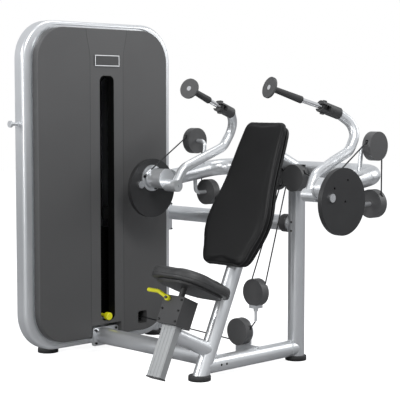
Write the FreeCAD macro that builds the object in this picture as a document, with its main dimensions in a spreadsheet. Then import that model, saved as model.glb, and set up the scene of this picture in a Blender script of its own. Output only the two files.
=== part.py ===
import FreeCAD, Part
import math
import os
import re
import Sketcher

Vector = FreeCAD.Vector

# Lengths in millimetres and angles in degrees. The floor is z = 0, x runs
# forward and y runs to the seated person's left. The origin is the floor
# point under the front foot of the leaning column.
SIZES = {
    "tower": {"x": -76, "front": -735, "width": 872, "bottom": 50, "top": 1530,
              "depth": 60, "corner": 175, "edge": 16, "recess": 12,
              "door_side": 76, "door_margin": 55, "door_corner": 130},
    "panel": {"side": 54, "rise": 34, "drop": 29, "corner": 150, "proud": 34,
              "edge": 5, "gap": 8, "lip": 5, "lip_back": 30},
    "slot": {"x": -86, "width": 84, "bottom": 156, "drop": 242, "corner": 26},
    "notch": {"x": -80, "width": 175, "top": 141},
    "window": {"x": -299, "z": 146, "width": 55, "height": 60, "corner": 10},
    "name_plate": {"x": -87, "drop": 174, "width": 148, "height": 54, "thick": 4,
                   "corner": 8},
    "shell": {"depth": 200, "inset": 11, "taper": 35.5, "wall": 6},
    "hanger": {"y": -765, "z": 1071, "radius": 8, "length": 52,
               "head_radius": 15, "head": 10, "collar_radius": 13, "collar": 8,
               "inset": 6},
    "chassis": {"width": 500, "height": 44, "depth": 45, "bottom": 108, "gap": 2,
                "sole": 12,
                "head_drop": 150, "pulley_drop": 215, "head_height": 40, "head_width": 420,
                "post": 30, "hanger": 30, "hanger_thick": 6, "arm_low": 112,
                "arm_high": 150, "arm_top": 215, "arm_end": -240},
    "stack": {"x": -86, "y": -854, "width": 300, "depth": 96, "bottom": 160,
              "plate": 24, "pitch": 25, "count": 15, "corner": 10,
              "top_plate": 34},
    "guide": {"spacing": 213, "radius": 10, "slack": 0.1, "back": 32},
    "selector": {"radius": 13, "slack": 0.1, "above": 40, "pin_radius": 5,
                 "pin_slack": 0.1, "pin_z": 175, "knob_radius": 18, "knob": 26,
                 "knob_edge": 5, "stand": 90, "neck_radius": 9},
    "frame": {"lean": 24.5, "column_radius": 35, "column_rise": 952,
              "upright_x": -609, "upright_radius": 38, "upright_top": 866,
              "foot_radius": 48, "foot": 10, "beam_radius": 36, "beam_z": 56,
              "beam_stop": 26, "hole_radius": 5.5, "hole": 16, "hole_a": 590,
              "hole_b": 630, "beam_hole_a": 96, "beam_hole_b": 128,
              "side_x": -66, "side_z": 85, "side_radius": 38},
    "flange": {"x": -90, "z": 81, "width": 150, "height": 86, "thick": 12,
               "corner": 12, "bolt_x": 60, "bolt_z": 30, "bolt_radius": 5.5,
               "bolt_head": 7},
    "crossbar": {"z": 620, "radius": 35, "flange_y": -878, "flange_width": 84,
                 "flange_height": 137, "flange_thick": 12, "flange_drop": 24,
                 "collar_y": -57, "collar": 34, "collar_radius": 41},
    "outrigger": {"y": -925, "radius": 38, "top": 700, "beam_radius": 25,
                  "beam_z": 55, "reach": 94, "foot_x": -574, "post_low": 30,
                  "tie_bottom": 600, "tie_top": 660, "tie_depth": 46,
                  "tie_end": -266,
                  "link_a": 80, "link_b": -190, "link_width": 60,
                  "link_top": 170},
    "yoke": {"radius": 38, "bend": 110, "half_width": 478, "front_x": -262,
             "front_z": 820, "cope_radius": 62},
    "brace": {"radius": 34},
    "seat_beam": {"radius": 32, "length": 250},
    "post": {"x": 170, "z": 221, "width": 80, "thick": 30, "low": -188, "high": 150,
             "cap": 6, "cap_lip": 2, "stem": 26, "slack": 0.06},
    "housing": {"low": 32, "high": 152, "width": 118, "back": 46, "front": 38,
                "screw_y": 48, "screw_a": 46, "screw_b": 92, "screw_c": 138,
                "screw_radius": 4.5, "screw_head": 4, "beam_gap": 1},
    "seat": {"shift": -30, "low": 205, "thick": 50, "size": 304, "corner": 106,
             "crown": 20, "base": 9, "board": 9, "board_size": 250,
             "board_corner": 90, "gap": 0.3},
    "latch": {"y": -31, "rise": 136, "radius": 8.5, "boss_radius": 12,
              "boss": 12, "knee": 64, "knee_rise": 22, "reach": 124,
              "gap": 0.3, "pin_radius": 5, "pin_slack": 0.05, "bracket": 5},
    "back": {"front": 88, "thick": 36, "edge": 13, "low": 490, "high": 1157,
             "board": 15, "board_share": 0.96, "gap": 0.3, "saddle": 60,
             "saddle_length": 80, "saddle_a": 640, "saddle_b": 940},
    "pivot": {"x": -230, "z": 819},
    "hub": {"inner": 465, "outer": 508, "radius": 45, "shaft_radius": 18,
            "slack": 0.05, "web_radius": 46, "web_inner": 452, "web": 11,
            "drum_radius": 45, "drum_inner": 509, "drum_outer": 543,
            "groove": 10},
    "plate": {"flange_radius": 60, "flange": 6, "inner": 555, "thick": 21,
              "radius": 135, "drop": 47, "screw_circle": 50, "screw_radius": 5,
              "screw_turn": 10, "screw_sink": 9, "head_radius": 7, "head": 5,
              "stop_x": 68, "stop_drop": 28, "stop_radius": 17, "stop_out": 7,
              "stop_in": 8},
    "foot_tube": {"radius": 27, "inner": 377, "drop": 29, "hole_radius": 5,
                  "hole": 8},
    "lever": {"radius": 21.5, "bend": 70},
    "fork": {"radius": 25, "slot": 22.6, "slot_length": 44, "pin_back": 20,
             "pin_radius": 6, "pin_slack": 0.05, "pin_head": 9, "pin_cap": 4},
    "handle": {"rod_radius": 10.5, "eye_radius": 18, "eye": 22,
               "grip_radius": 16, "stop_radius": 45, "stop": 9,
               "collar_radius": 19, "collar": 6},
    "wheel": {"track": 45},
    "cover": {"radius": 60, "depth": 40, "wall": 6, "inner_radius": 52,
              "edge": 3, "rim_slot": 9},
    "rope": {"radius": 3, "slack": 2.2, "gap": 1.5, "riser_gap": 2.4,
             "fitting_radius": 7, "fitting": 34},
    "strap": {"radius": 9, "bend": 26},
    "bracket": {"thick": 8, "width": 46, "center_width": 190, "center_height": 105},
    "clevis": {"length": 46, "width": 40, "drop": 70, "bridge": 14,
               "neck_radius": 10, "neck": 14, "stud_radius": 6, "stud": 44},
}

# Points on centre lines, on the person's left where there is a pair.
POINTS = {
    "lever": ((-232, 400, 790), (-276, 392, 868), (-407, 378, 920),
              (-516, 375, 960), (-580, 368, 1055), (-510, 320, 1118),
              (-459, 311.5, 1134)),
    "fork": ((-510, 320, 1118), (-408, 303, 1150)),
    "grip": ((-324, 275, 1175), (-173, 239, 1224)),
    "upper_pulley": ((-486, 535, 986),),
    "lower_pulley": ((-531, 490, 744),),
    "center_pulley": ((-531, 60, 833),),
    "moving_pulley": ((-343, 0, 337),),
    "base_pulley": ((-315, -70, 158),),
    "tower_pulley": ((-315, -809, 191),),
    "top_pulley": ((-270, -854, "=tower_top - chassis_pulley_drop"),
                   (-131, -854, "=tower_top - chassis_pulley_drop")),
    "upper_strap": ((-486, 515, 986), (-486, 466, 986), (-470, 464, 855)),
    "lower_strap": ((-511, 490, 744), (-448, 490, 744), (-438, 484, 845)),
}

# Half widths of the back pad at distances along its slope.
PAD_WIDTHS = ((487, 96), (490, 106), (499, 120), (519, 134), (569, 152),
              (614, 168), (669, 179), (726, 178), (829, 155), (969, 136),
              (1099, 123), (1134, 114), (1149, 102), (1157, 84))

# Sizes that follow from others.
FOLLOWING = {
    "tower_door_width": "tower_width - 2 * tower_door_side",
    "panel_width": "tower_width - 2 * panel_side",
    "panel_bottom": "tower_bottom + panel_rise",
    "panel_top": "tower_top - panel_drop",
    "slot_top": "tower_top - slot_drop",
    "name_plate_z": "tower_top - name_plate_drop",
    "chassis_head_bottom": "tower_top - chassis_head_drop",
}

doc = FreeCAD.newDocument("TricepsExtension")
sheet = doc.addObject("Spreadsheet::Sheet", "Sizes")
ALIASES = []


def record(alias, number):
    """Write one number to the next row of the sheet under its own name."""
    ALIASES.append(alias)
    cell = "A" + str(len(ALIASES))
    sheet.set(cell, str(number))
    sheet.setAlias(cell, alias)


for group, entries in SIZES.items():
    for entry, number in entries.items():
        record(group + "_" + entry, number)
for entry, formula in FOLLOWING.items():
    record(entry, "=" + formula)
for group, places in POINTS.items():
    for order, place in enumerate(places):
        for direction, number in zip(("along", "aside", "above"), place):
            record(group + "_point_" + str(order) + "_" + direction, number)
for order, (reach, half) in enumerate(PAD_WIDTHS):
    record("pad_row_" + str(order) + "_reach", reach)
    record("pad_row_" + str(order) + "_half", half)
doc.recompute()


def linked(formula):
    """Turn bare names in a formula into references to the sheet."""
    names = r"[a-z]+(?:_[a-z0-9]+)+"
    return re.sub(names, lambda found: "Sizes." + found.group(), str(formula))


def value(formula):
    """The number that a formula of sheet names comes to."""
    return float(sheet.evalExpression(str(formula)))


def points(group):
    """The points of a centre line, read from the sheet."""
    found = []
    for order in range(len(POINTS[group])):
        name = group + "_point_" + str(order) + "_"
        found.append(Vector(value(name + "along"), value(name + "aside"),
                            value(name + "above")))
    return found


UP = Vector(0, 0, 1)
DOWN = Vector(0, 0, -1)
FORWARD = Vector(1, 0, 0)
BACKWARD = Vector(-1, 0, 0)
LEFT = Vector(0, 1, 0)
RIGHT = Vector(0, -1, 0)
LEAN = math.radians(value("frame_lean"))
SLOPE = Vector(-math.sin(LEAN), 0, math.cos(LEAN))
OUT = Vector(math.cos(LEAN), 0, math.sin(LEAN))


def at(x, y, z):
    """A place given by three formulas."""
    return Vector(value(x), value(y), value(z))


def turn_to(direction):
    """The turn that carries the z axis to a direction."""
    return FreeCAD.Rotation(UP, direction)


def new(kind, label, **sizes):
    """Add a parametric solid with its sizes bound to the sheet."""
    item = doc.addObject(kind, label)
    item.Label = label
    for size, formula in sizes.items():
        item.setExpression(size, linked(formula))
    return item


def rod(label, radius, length, start, direction):
    """A round bar from a start point along a direction."""
    item = new("Part::Cylinder", label, Radius=radius, Height=length)
    item.Placement = FreeCAD.Placement(start, turn_to(direction))
    return item


def block(label, sizes, center, turn=FreeCAD.Rotation()):
    """A box of three sizes about a centre, turned about that centre."""
    item = new("Part::Box", label, Length=sizes[0], Width=sizes[1],
               Height=sizes[2])
    half = Vector(value(sizes[0]), value(sizes[1]), value(sizes[2])) * -HALF
    item.Placement = FreeCAD.Placement(center + turn.multVec(half), turn)
    return item


HALF = 1 / 2


def between(label, low, high):
    """A box between two corners, each given by three formulas."""
    sizes = []
    for start, end in zip(low, high):
        sizes.append("(" + str(end) + ") - (" + str(start) + ")")
    item = new("Part::Box", label, Length=sizes[0], Width=sizes[1],
               Height=sizes[2])
    item.Placement = FreeCAD.Placement(at(*low), FreeCAD.Rotation())
    return item


def cut(label, base, *tools):
    """Cut tools from a base and round the result off as one object."""
    tool = tools[0]
    if len(tools) > 1:
        tool = doc.addObject("Part::MultiFuse", label + "_tools")
        tool.Shapes = list(tools)
    item = doc.addObject("Part::Cut", label)
    item.Label = label
    item.Base = base
    item.Tool = tool
    return item


def fuse(label, *shapes):
    """Join shapes to one solid."""
    item = doc.addObject("Part::MultiFuse", label)
    item.Label = label
    item.Shapes = list(shapes)
    return item


def group_of(label, *shapes):
    """Keep separate solids together under one name."""
    item = doc.addObject("Part::Compound", label)
    item.Label = label
    item.Links = list(shapes)
    return item


def mirrored(label, source):
    """The same form on the other side of the machine."""
    item = doc.addObject("Part::Mirroring", label)
    item.Label = label
    item.Source = source
    item.Normal = LEFT
    return item


def bent_wire(places, bend):
    """A line through points with an arc of one radius at each bend."""
    edges = []
    start = places[0]
    for before, corner, after in zip(places, places[1:], places[2:]):
        inward = (before - corner).normalize()
        outward = (after - corner).normalize()
        opening = inward.getAngle(outward)
        reach = bend / math.tan(opening * HALF)
        first = corner + inward * reach
        last = corner + outward * reach
        middle = (inward + outward).normalize()
        center = corner + middle * (bend / math.sin(opening * HALF))
        edges.append(Part.makeLine(start, first))
        edges.append(Part.Arc(first, center - middle * bend, last).toShape())
        start = last
    edges.append(Part.makeLine(start, places[-1]))
    return Part.Wire(edges)


def sweep(label, radius, wire):
    """A round section carried along a wire."""
    path = doc.addObject("Part::Feature", label + "_path")
    path.Shape = wire
    first = wire.Edges[0]
    ring = new("Part::Circle", label + "_ring", Radius=radius)
    ring.Placement = FreeCAD.Placement(
        first.valueAt(first.FirstParameter),
        turn_to(first.tangentAt(first.FirstParameter)))
    item = doc.addObject("Part::Sweep", label)
    item.Label = label
    item.Sections = [ring]
    item.Spine = (path, ["Edge" + str(order + 1) for order in range(len(wire.Edges))])
    item.Solid = True
    item.Frenet = False
    item.Transition = "Round corner"
    return item


def tube(label, radius, places, bend):
    """A bent round tube through points."""
    return sweep(label, radius, bent_wire(places, value(bend)))


def plane_of(body, role):
    """One of a body's own origin planes."""
    for feature in body.Origin.OriginFeatures:
        if feature.Role == role:
            return feature
    raise ValueError(role)


def rectangle(body, name, width, height, role="XY_Plane"):
    """A centred rectangle with both sizes bound to the sheet."""
    sketch = body.newObject("Sketcher::SketchObject", name)
    sketch.AttachmentSupport = [(plane_of(body, role), "")]
    sketch.MapMode = "FlatFace"
    corners = [Vector(-1, -1, 0), Vector(1, -1, 0), Vector(1, 1, 0), Vector(-1, 1, 0)]
    for order, corner in enumerate(corners):
        following = corners[(order + 1) % len(corners)]
        sketch.addGeometry(Part.LineSegment(corner, following), False)
    for order in range(len(corners)):
        following = (order + 1) % len(corners)
        sketch.addConstraint(Sketcher.Constraint("Coincident", order, 2, following, 1))
        kind = "Vertical" if order % 2 else "Horizontal"
        sketch.addConstraint(Sketcher.Constraint(kind, order))
    sketch.addConstraint(Sketcher.Constraint("Symmetric", 0, 1, 1, 2, -1, 1))
    for kind, edge, name, formula in (("DistanceX", 0, "wide", width),
                                      ("DistanceY", 1, "tall", height)):
        mark = sketch.addConstraint(Sketcher.Constraint(kind, edge, 1, edge, 2, 1.0))
        sketch.renameConstraint(mark, name)
        sketch.setExpression("Constraints." + name, linked(formula))
    return sketch


def slab(label, width, height, depth, corner, center, turn, edge=None, taper=None,
         both=None):
    """A rounded slab as a body: its sketch lies on the body's own floor."""
    body = doc.addObject("PartDesign::Body", label)
    body.Label = label
    sketch = rectangle(body, label + "_outline", width, height)
    pad = body.newObject("PartDesign::Pad", label + "_pad")
    pad.Profile = sketch
    pad.setExpression("Length", linked(depth))
    body.Tip = pad
    doc.recompute()
    along = []
    for order, line in enumerate(pad.Shape.Edges):
        if abs(line.tangentAt(line.FirstParameter).z) > NEARLY:
            along.append("Edge" + str(order + 1))
    rounding = body.newObject("PartDesign::Fillet", label + "_corners")
    rounding.Base = (pad, along)
    rounding.setExpression("Radius", linked(corner))
    body.Tip = rounding
    doc.recompute()
    for name, size, top in (("top", edge, True), ("base", both, False)):
        if size is None:
            continue
        previous = body.Tip
        level = previous.Shape.BoundBox.ZMax if top else previous.Shape.BoundBox.ZMin
        rim = []
        for order, line in enumerate(previous.Shape.Edges):
            box = line.BoundBox
            if box.ZMax - box.ZMin < TINY and abs(box.ZMax - level) < TINY:
                rim.append("Edge" + str(order + 1))
        softening = body.newObject("PartDesign::Fillet", label + "_" + name)
        softening.Base = (previous, rim)
        softening.setExpression("Radius", linked(size))
        body.Tip = softening
        doc.recompute()
    body.Placement = FreeCAD.Placement(center, turn)
    return body


NEARLY = 0.999
TINY = 0.001
# The turn that stands a slab upright with its top towards the person's left.
FACING = FreeCAD.Rotation(BACKWARD, UP, LEFT, "ZXY")
# The turn that lays a slab square to the leaning column, its top upwards.
TILTED = FreeCAD.Rotation(OUT, LEFT, SLOPE, "ZXY")

PIECES = []


def keep(*items):
    """Mark objects as sub-parts of the machine."""
    PIECES.extend(items)
    return items[0]


# Tower: rim, panel, trim, back shell and what hangs on them.
rim_center = at("tower_x", "tower_front - tower_depth",
                "(tower_top + tower_bottom) / 2")
rim_body = slab("rim_block", "tower_width", "tower_top - tower_bottom",
                "tower_depth", "tower_corner", rim_center, FACING,
                edge="tower_edge")
panel_height = "(panel_top - panel_bottom + 2 * panel_lip + 2 * panel_gap)"
recess_center = at("tower_x", "tower_front - tower_recess",
                   "(panel_top + panel_bottom) / 2")
recess = slab("rim_recess", "panel_width + 2 * panel_lip + 2 * panel_gap",
              panel_height, "2 * tower_recess",
              "panel_corner + panel_lip + panel_gap", recess_center, FACING)
doorway = slab("rim_doorway", "tower_door_width",
               "tower_top - tower_bottom - 2 * tower_door_margin",
               "2 * tower_depth", "tower_door_corner", rim_center, FACING)
hanger_bore = rod("hanger_bore", "hanger_radius", "hanger_inset",
                  at("tower_x + tower_width / 2 - hanger_inset", "hanger_y",
                     "hanger_z"), FORWARD)
tower_rim = keep(cut("tower_rim", rim_body, recess, doorway, hanger_bore))

panel_center = at("tower_x", "tower_front - tower_recess",
                  "(panel_top + panel_bottom) / 2")
panel_block = slab("panel_block", "panel_width", "panel_top - panel_bottom",
                   "tower_recess + panel_proud", "panel_corner", panel_center,
                   FACING, edge="panel_edge")
panel_deep = "2 * tower_recess + 2 * panel_proud"
slot_hole = slab("panel_slot", "slot_width", "slot_top - slot_bottom",
                 panel_deep, "slot_corner",
                 at("slot_x", "tower_front - 2 * tower_recess",
                    "(slot_top + slot_bottom) / 2"), FACING)
notch_hole = block("panel_notch", ("notch_width", panel_deep,
                                   "2 * notch_top - 2 * tower_bottom"),
                   at("notch_x", "tower_front", "tower_bottom"))
window_hole = slab("panel_window", "window_width", "window_height", panel_deep,
                   "window_corner",
                   at("window_x", "tower_front - 2 * tower_recess", "window_z"),
                   FACING)
front_panel = keep(cut("front_panel", panel_block, slot_hole, notch_hole,
                       window_hole))

lip_block = slab("lip_block", "panel_width + 2 * panel_lip",
                 "panel_top - panel_bottom + 2 * panel_lip",
                 "tower_recess + panel_proud - panel_lip_back",
                 "panel_corner + panel_lip", panel_center, FACING)
lip_hole = slab("lip_hole", "panel_width", "panel_top - panel_bottom",
                panel_deep, "panel_corner",
                at("tower_x", "tower_front - 2 * tower_recess",
                   "(panel_top + panel_bottom) / 2"), FACING)
lip_notch = block("lip_notch", ("notch_width", panel_deep,
                                "2 * notch_top - 2 * tower_bottom"),
                  at("notch_x", "tower_front", "tower_bottom"))
panel_lip = keep(cut("panel_trim", lip_block, lip_hole, lip_notch))

name_plate = keep(slab("blank_plate", "name_plate_width", "name_plate_height",
                       "name_plate_thick", "name_plate_corner",
                       at("name_plate_x", "tower_front + panel_proud",
                          "name_plate_z"), FACING))


def tapered(label, inset, depth):
    """A slab for the back of the tower that narrows towards the rear."""
    turn = FreeCAD.Rotation(FORWARD, UP, RIGHT, "ZXY")
    body = doc.addObject("PartDesign::Body", label)
    body.Label = label
    width = "tower_width - 2 * shell_inset - 2 * " + inset
    height = "tower_top - tower_bottom - 2 * shell_inset - 2 * " + inset
    sketch = rectangle(body, label + "_outline", width, height)
    pad = body.newObject("PartDesign::Pad", label + "_pad")
    pad.Profile = sketch
    pad.setExpression("Length", linked(depth))
    pad.setExpression("TaperAngle", "-Sizes.shell_taper")
    body.Tip = pad
    doc.recompute()
    along = []
    for order, line in enumerate(pad.Shape.Edges):
        box = line.BoundBox
        if box.ZMax - box.ZMin > TINY:
            along.append("Edge" + str(order + 1))
    rounding = body.newObject("PartDesign::Fillet", label + "_corners")
    rounding.Base = (pad, along)
    rounding.setExpression("Radius", linked("tower_corner - " + inset))
    body.Tip = rounding
    body.Placement = FreeCAD.Placement(
        at("tower_x", "tower_front - tower_depth",
           "(tower_top + tower_bottom) / 2"), turn)
    doc.recompute()
    return body


shell_outside = tapered("shell_outside", "shell_inset", "shell_depth")
shell_inside = tapered("shell_inside", "(shell_inset + shell_wall)",
                       "shell_depth - shell_wall")
tie_hole = between("shell_tie_hole",
                   ("tower_x - tower_width / 2",
                    "outrigger_y - outrigger_tie_depth / 2 - chassis_gap",
                    "outrigger_tie_bottom - chassis_gap"),
                   ("tower_x - tower_width / 4",
                    "outrigger_y + outrigger_tie_depth / 2 + chassis_gap",
                    "outrigger_tie_top + chassis_gap"))
shell_holes = [tie_hole]
for name in ("link_a", "link_b"):
    shell_holes.append(between(
        "shell_hole_" + name,
        ("outrigger_" + name + " - outrigger_link_width / 2 - chassis_gap",
         "outrigger_y - outrigger_tie_depth / 2 - chassis_gap", "tower_bottom"),
        ("outrigger_" + name + " + outrigger_link_width / 2 + chassis_gap",
         "outrigger_y + outrigger_tie_depth / 2 + chassis_gap",
         "outrigger_link_top + chassis_gap")))
back_shell = keep(cut("tower_back_shell", shell_outside, shell_inside,
                      *shell_holes))

side_x = "tower_x + tower_width / 2"
hanger_start = at(side_x + " - hanger_inset", "hanger_y", "hanger_z")
hanger_bar = rod("hanger_bar", "hanger_radius", "hanger_length + hanger_inset",
                 hanger_start, FORWARD)
hanger_collar = rod("hanger_collar", "hanger_collar_radius", "hanger_collar",
                    at(side_x, "hanger_y", "hanger_z"), FORWARD)
hanger_head = rod("hanger_head", "hanger_head_radius", "hanger_head",
                  at(side_x + " + hanger_length - hanger_head", "hanger_y",
                     "hanger_z"), FORWARD)
keep(fuse("side_peg", hanger_bar, hanger_collar, hanger_head))

# Chassis inside the tower, guide rods, bumpers and the head frame.
chassis_y = "(tower_front - tower_depth - chassis_gap - chassis_depth / 2)"
chassis_bar = block("chassis_bar",
                    ("chassis_width", "chassis_depth", "chassis_height"),
                    at("stack_x", chassis_y,
                       "chassis_bottom + chassis_height / 2"))
sole = between("chassis_sole",
               ("stack_x - chassis_head_width / 2",
                "stack_y - stack_depth / 2",
                "stack_bottom - chassis_gap - chassis_sole"),
               ("stack_x + chassis_head_width / 2",
                "tower_front - tower_depth - chassis_gap",
                "stack_bottom - chassis_gap"))
links = []
for name in ("link_a", "link_b"):
    links.append(between(
        "chassis_" + name,
        ("outrigger_" + name + " - outrigger_link_width / 2",
         "outrigger_y - outrigger_tie_depth / 2",
         "outrigger_beam_z + outrigger_beam_radius / 2"),
        ("outrigger_" + name + " + outrigger_link_width / 2",
         "outrigger_y + outrigger_tie_depth / 2", "outrigger_link_top")))
posts = []
for name, edge, far in (("left", " + chassis_head_width / 2 - chassis_post",
                         " + chassis_head_width / 2"),
                        ("right", " - chassis_head_width / 2",
                         " - chassis_head_width / 2 + chassis_post")):
    posts.append(between("chassis_post_" + name,
                         ("stack_x" + edge, "stack_y - stack_depth / 2",
                          "stack_bottom - chassis_gap - chassis_sole"),
                         ("stack_x" + far,
                          "stack_y - stack_depth / 2 + chassis_post - chassis_gap",
                          "chassis_head_bottom + chassis_head_height")))
head_frame = between("chassis_head",
                     ("stack_x - chassis_head_width / 2",
                      "stack_y - stack_depth / 2", "chassis_head_bottom"),
                     ("stack_x + chassis_head_width / 2",
                      "tower_front - tower_depth - chassis_gap",
                      "chassis_head_bottom + chassis_head_height"))
hangers = []
for order in range(len(POINTS["top_pulley"])):
    pulley_x = "top_pulley_point_" + str(order) + "_along"
    pulley_z = "top_pulley_point_" + str(order) + "_above"
    hangers.append(between(
        "chassis_hanger_" + str(order),
        (pulley_x + " - chassis_hanger / 2",
         "stack_y - cover_depth / 2 - chassis_hanger_thick",
         pulley_z + " - chassis_hanger / 2"),
        (pulley_x + " + chassis_hanger / 2", "stack_y - cover_depth / 2",
         "chassis_head_bottom")))
arm_x = "(tower_pulley_point_0_along + cover_depth / 2)"
arm_plate = between("chassis_arm_plate",
                    (arm_x, "tower_pulley_point_0_aside - chassis_hanger",
                     "chassis_arm_low"),
                    (arm_x + " + chassis_hanger_thick",
                     "tower_front - tower_depth - chassis_gap",
                     "chassis_arm_top"))
arm_block = between("chassis_arm_block",
                    (arm_x, "tower_front - tower_depth - chassis_gap"
                     " - chassis_depth", "chassis_arm_low"),
                    ("chassis_arm_end",
                     "tower_front - tower_depth - chassis_gap",
                     "chassis_arm_high"))
window_clear = between("chassis_clear",
                       ("tower_x - tower_width / 2", "stack_y - stack_depth",
                        "tower_bottom"),
                       ("window_x + window_width",
                        "tower_front",
                        "window_z + window_height"))
beam_clear = rod("chassis_beam_clear", "outrigger_beam_radius",
                 "tower_width", at("-tower_width / 2 + tower_x", "outrigger_y",
                                   "outrigger_beam_z"), FORWARD)
chassis_blank = fuse("chassis_blank", chassis_bar, sole, head_frame, *posts,
                     *hangers)
chassis_inner = doc.addObject("Part::MultiCommon", "chassis_inner")
chassis_inner.Shapes = [chassis_blank, shell_inside]
chassis_body = fuse("chassis_body", chassis_inner, *links)
guides = []
guide_holes = []
for name, side in (("left", "-"), ("right", "+")):
    foot = at("stack_x " + side + " guide_spacing / 2", "stack_y - guide_back",
              "stack_bottom - chassis_gap")
    guides.append(rod("guide_" + name, "guide_radius",
                      "chassis_head_bottom - stack_bottom + chassis_gap", foot,
                      UP))
    guide_holes.append(rod("guide_hole_" + name, "guide_radius + guide_slack",
                           "chassis_head_bottom", foot, UP))
keep(group_of("guide_rods", *guides))
chassis_main = cut("chassis_main", chassis_body, window_clear, beam_clear)
keep(fuse("tower_chassis", chassis_main, arm_plate, arm_block))

# Weight stack: plates, top plate, selector rod and selector pin.
stack_turn = FreeCAD.Rotation()
pin_bore = rod("pin_bore", "selector_pin_radius + selector_pin_slack",
               "stack_depth", at("stack_x", "stack_y", "selector_pin_z"), LEFT)
rod_bore = rod("selector_bore", "selector_radius + selector_slack",
               "chassis_head_bottom", at("stack_x", "stack_y", "tower_bottom"),
               UP)
plates = []
for order in range(int(value("stack_count"))):
    rise = "stack_bottom + stack_pitch * " + str(order)
    plates.append(slab("weight_" + str(order), "stack_width", "stack_depth",
                       "stack_plate", "stack_corner",
                       at("stack_x", "stack_y", rise), stack_turn))
top_rise = "(stack_bottom + stack_pitch * stack_count)"
top_block = slab("top_block", "stack_width", "stack_depth", "stack_top_plate",
                 "stack_corner", at("stack_x", "stack_y", top_rise), stack_turn)
stack_blanks = group_of("stack_blanks", *plates, top_block)
keep(cut("weight_plates", stack_blanks, pin_bore, rod_bore, *guide_holes))
selector_bar = rod("selector_bar", "selector_radius",
                   top_rise + " + stack_top_plate + selector_above - stack_bottom",
                   at("stack_x", "stack_y", "stack_bottom"), UP)
pin_hole = rod("selector_pin_hole", "selector_pin_radius + selector_pin_slack",
               "2 * stack_depth",
               at("stack_x", "stack_y - stack_depth", "selector_pin_z"), LEFT)
keep(cut("selector_rod", selector_bar, pin_hole))
pin_y = "stack_y + stack_depth / 2"
pin_bar = rod("pin_bar", "selector_pin_radius", "stack_depth / 2",
              at("stack_x", "stack_y", "selector_pin_z"), LEFT)
pin_neck = rod("pin_neck", "selector_neck_radius", "selector_stand",
               at("stack_x", pin_y + " + chassis_gap", "selector_pin_z"), LEFT)
pin_root = rod("pin_root", "selector_pin_radius", "2 * chassis_gap",
               at("stack_x", pin_y, "selector_pin_z"), LEFT)
pin_knob = rod("pin_knob", "selector_knob_radius", "selector_knob",
               at("stack_x", pin_y + " + chassis_gap + selector_stand",
                  "selector_pin_z"), LEFT)
doc.recompute()
rounded = doc.addObject("Part::Fillet", "pin_knob_round")
rounded.Base = pin_knob
knob_edge = value("selector_knob_edge")
rims = []
for order, line in enumerate(pin_knob.Shape.Edges):
    if line.Length > 6 * value("selector_knob_radius"):
        rims.append((order + 1, knob_edge, knob_edge))
rounded.Edges = rims
keep(fuse("selector_pin", pin_bar, pin_root, pin_neck, rounded))

# Frame: leaning column, rear upright, base beams, crossbar, yoke and brace.
def column_at(height):
    """The point of the column's centre line at a height above the floor."""
    return SLOPE * (height / math.cos(LEAN))


floor_block = block("floor_block", ("4 * frame_foot_radius",
                                    "4 * frame_foot_radius",
                                    "4 * frame_foot_radius"),
                    at(0, 0, "frame_foot - 2 * frame_foot_radius"))
column_start = column_at(-value("frame_foot_radius"))
column_length = "(frame_column_rise + frame_foot_radius) / cos(frame_lean)"
column_bar = rod("column_bar", "frame_column_radius", column_length,
                 column_start, SLOPE)
column_body = cut("column_body", column_bar, floor_block)
upright_bar = rod("upright_bar", "frame_upright_radius",
                  "frame_upright_top - frame_foot",
                  at("frame_upright_x", 0, "frame_foot"), UP)

yoke_side = [Vector(value("yoke_front_x"), value("yoke_half_width"),
                    value("yoke_front_z")),
             Vector(value("frame_upright_x"), value("yoke_half_width"),
                    value("frame_upright_top"))]
yoke_far = [Vector(place.x, -place.y, place.z) for place in reversed(yoke_side)]
yoke_tube = tube("yoke_tube", "yoke_radius", yoke_side + yoke_far, "yoke_bend")
yoke_cuts = []
pivot = at("pivot_x", 0, "pivot_z")
for side, name in ((1, "left"), (-1, "right")):
    start = pivot + LEFT * (side * value("foot_tube_inner - hub_web"))
    yoke_cuts.append(rod("yoke_cope_" + name, "yoke_cope_radius",
                         "hub_inner - foot_tube_inner + 2 * hub_web", start,
                         LEFT * side))
    start = pivot + LEFT * (side * value("hub_inner"))
    yoke_cuts.append(rod("yoke_seat_" + name, "hub_radius",
                         "hub_drum_outer - hub_inner", start, LEFT * side))
    start = pivot + LEFT * (side * value("hub_outer"))
    yoke_cuts.append(rod("yoke_clear_" + name, "yoke_cope_radius",
                         "hub_drum_outer - hub_outer", start, LEFT * side))
yoke_body = cut("yoke_body", yoke_tube, *yoke_cuts)

hole_bars = []
for name in ("hole_a", "hole_b"):
    hole_bars.append(rod("upright_" + name, "frame_hole_radius", "frame_hole",
                         at("frame_upright_x + frame_upright_radius"
                            " - frame_hole / 2", 0, "frame_" + name), FORWARD))
brace_direction = OUT
brace_bar = rod("brace_bar", "brace_radius",
                "(-frame_upright_x - frame_column_rise * tan(frame_lean))",
                at("frame_upright_x", 0, "frame_upright_top"), brace_direction)
brace_body = cut("brace_body", brace_bar, column_bar)
keep(cut("rear_upright", upright_bar, yoke_tube, brace_bar, *hole_bars))
keep(fuse("yoke", yoke_body, brace_body))

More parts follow.
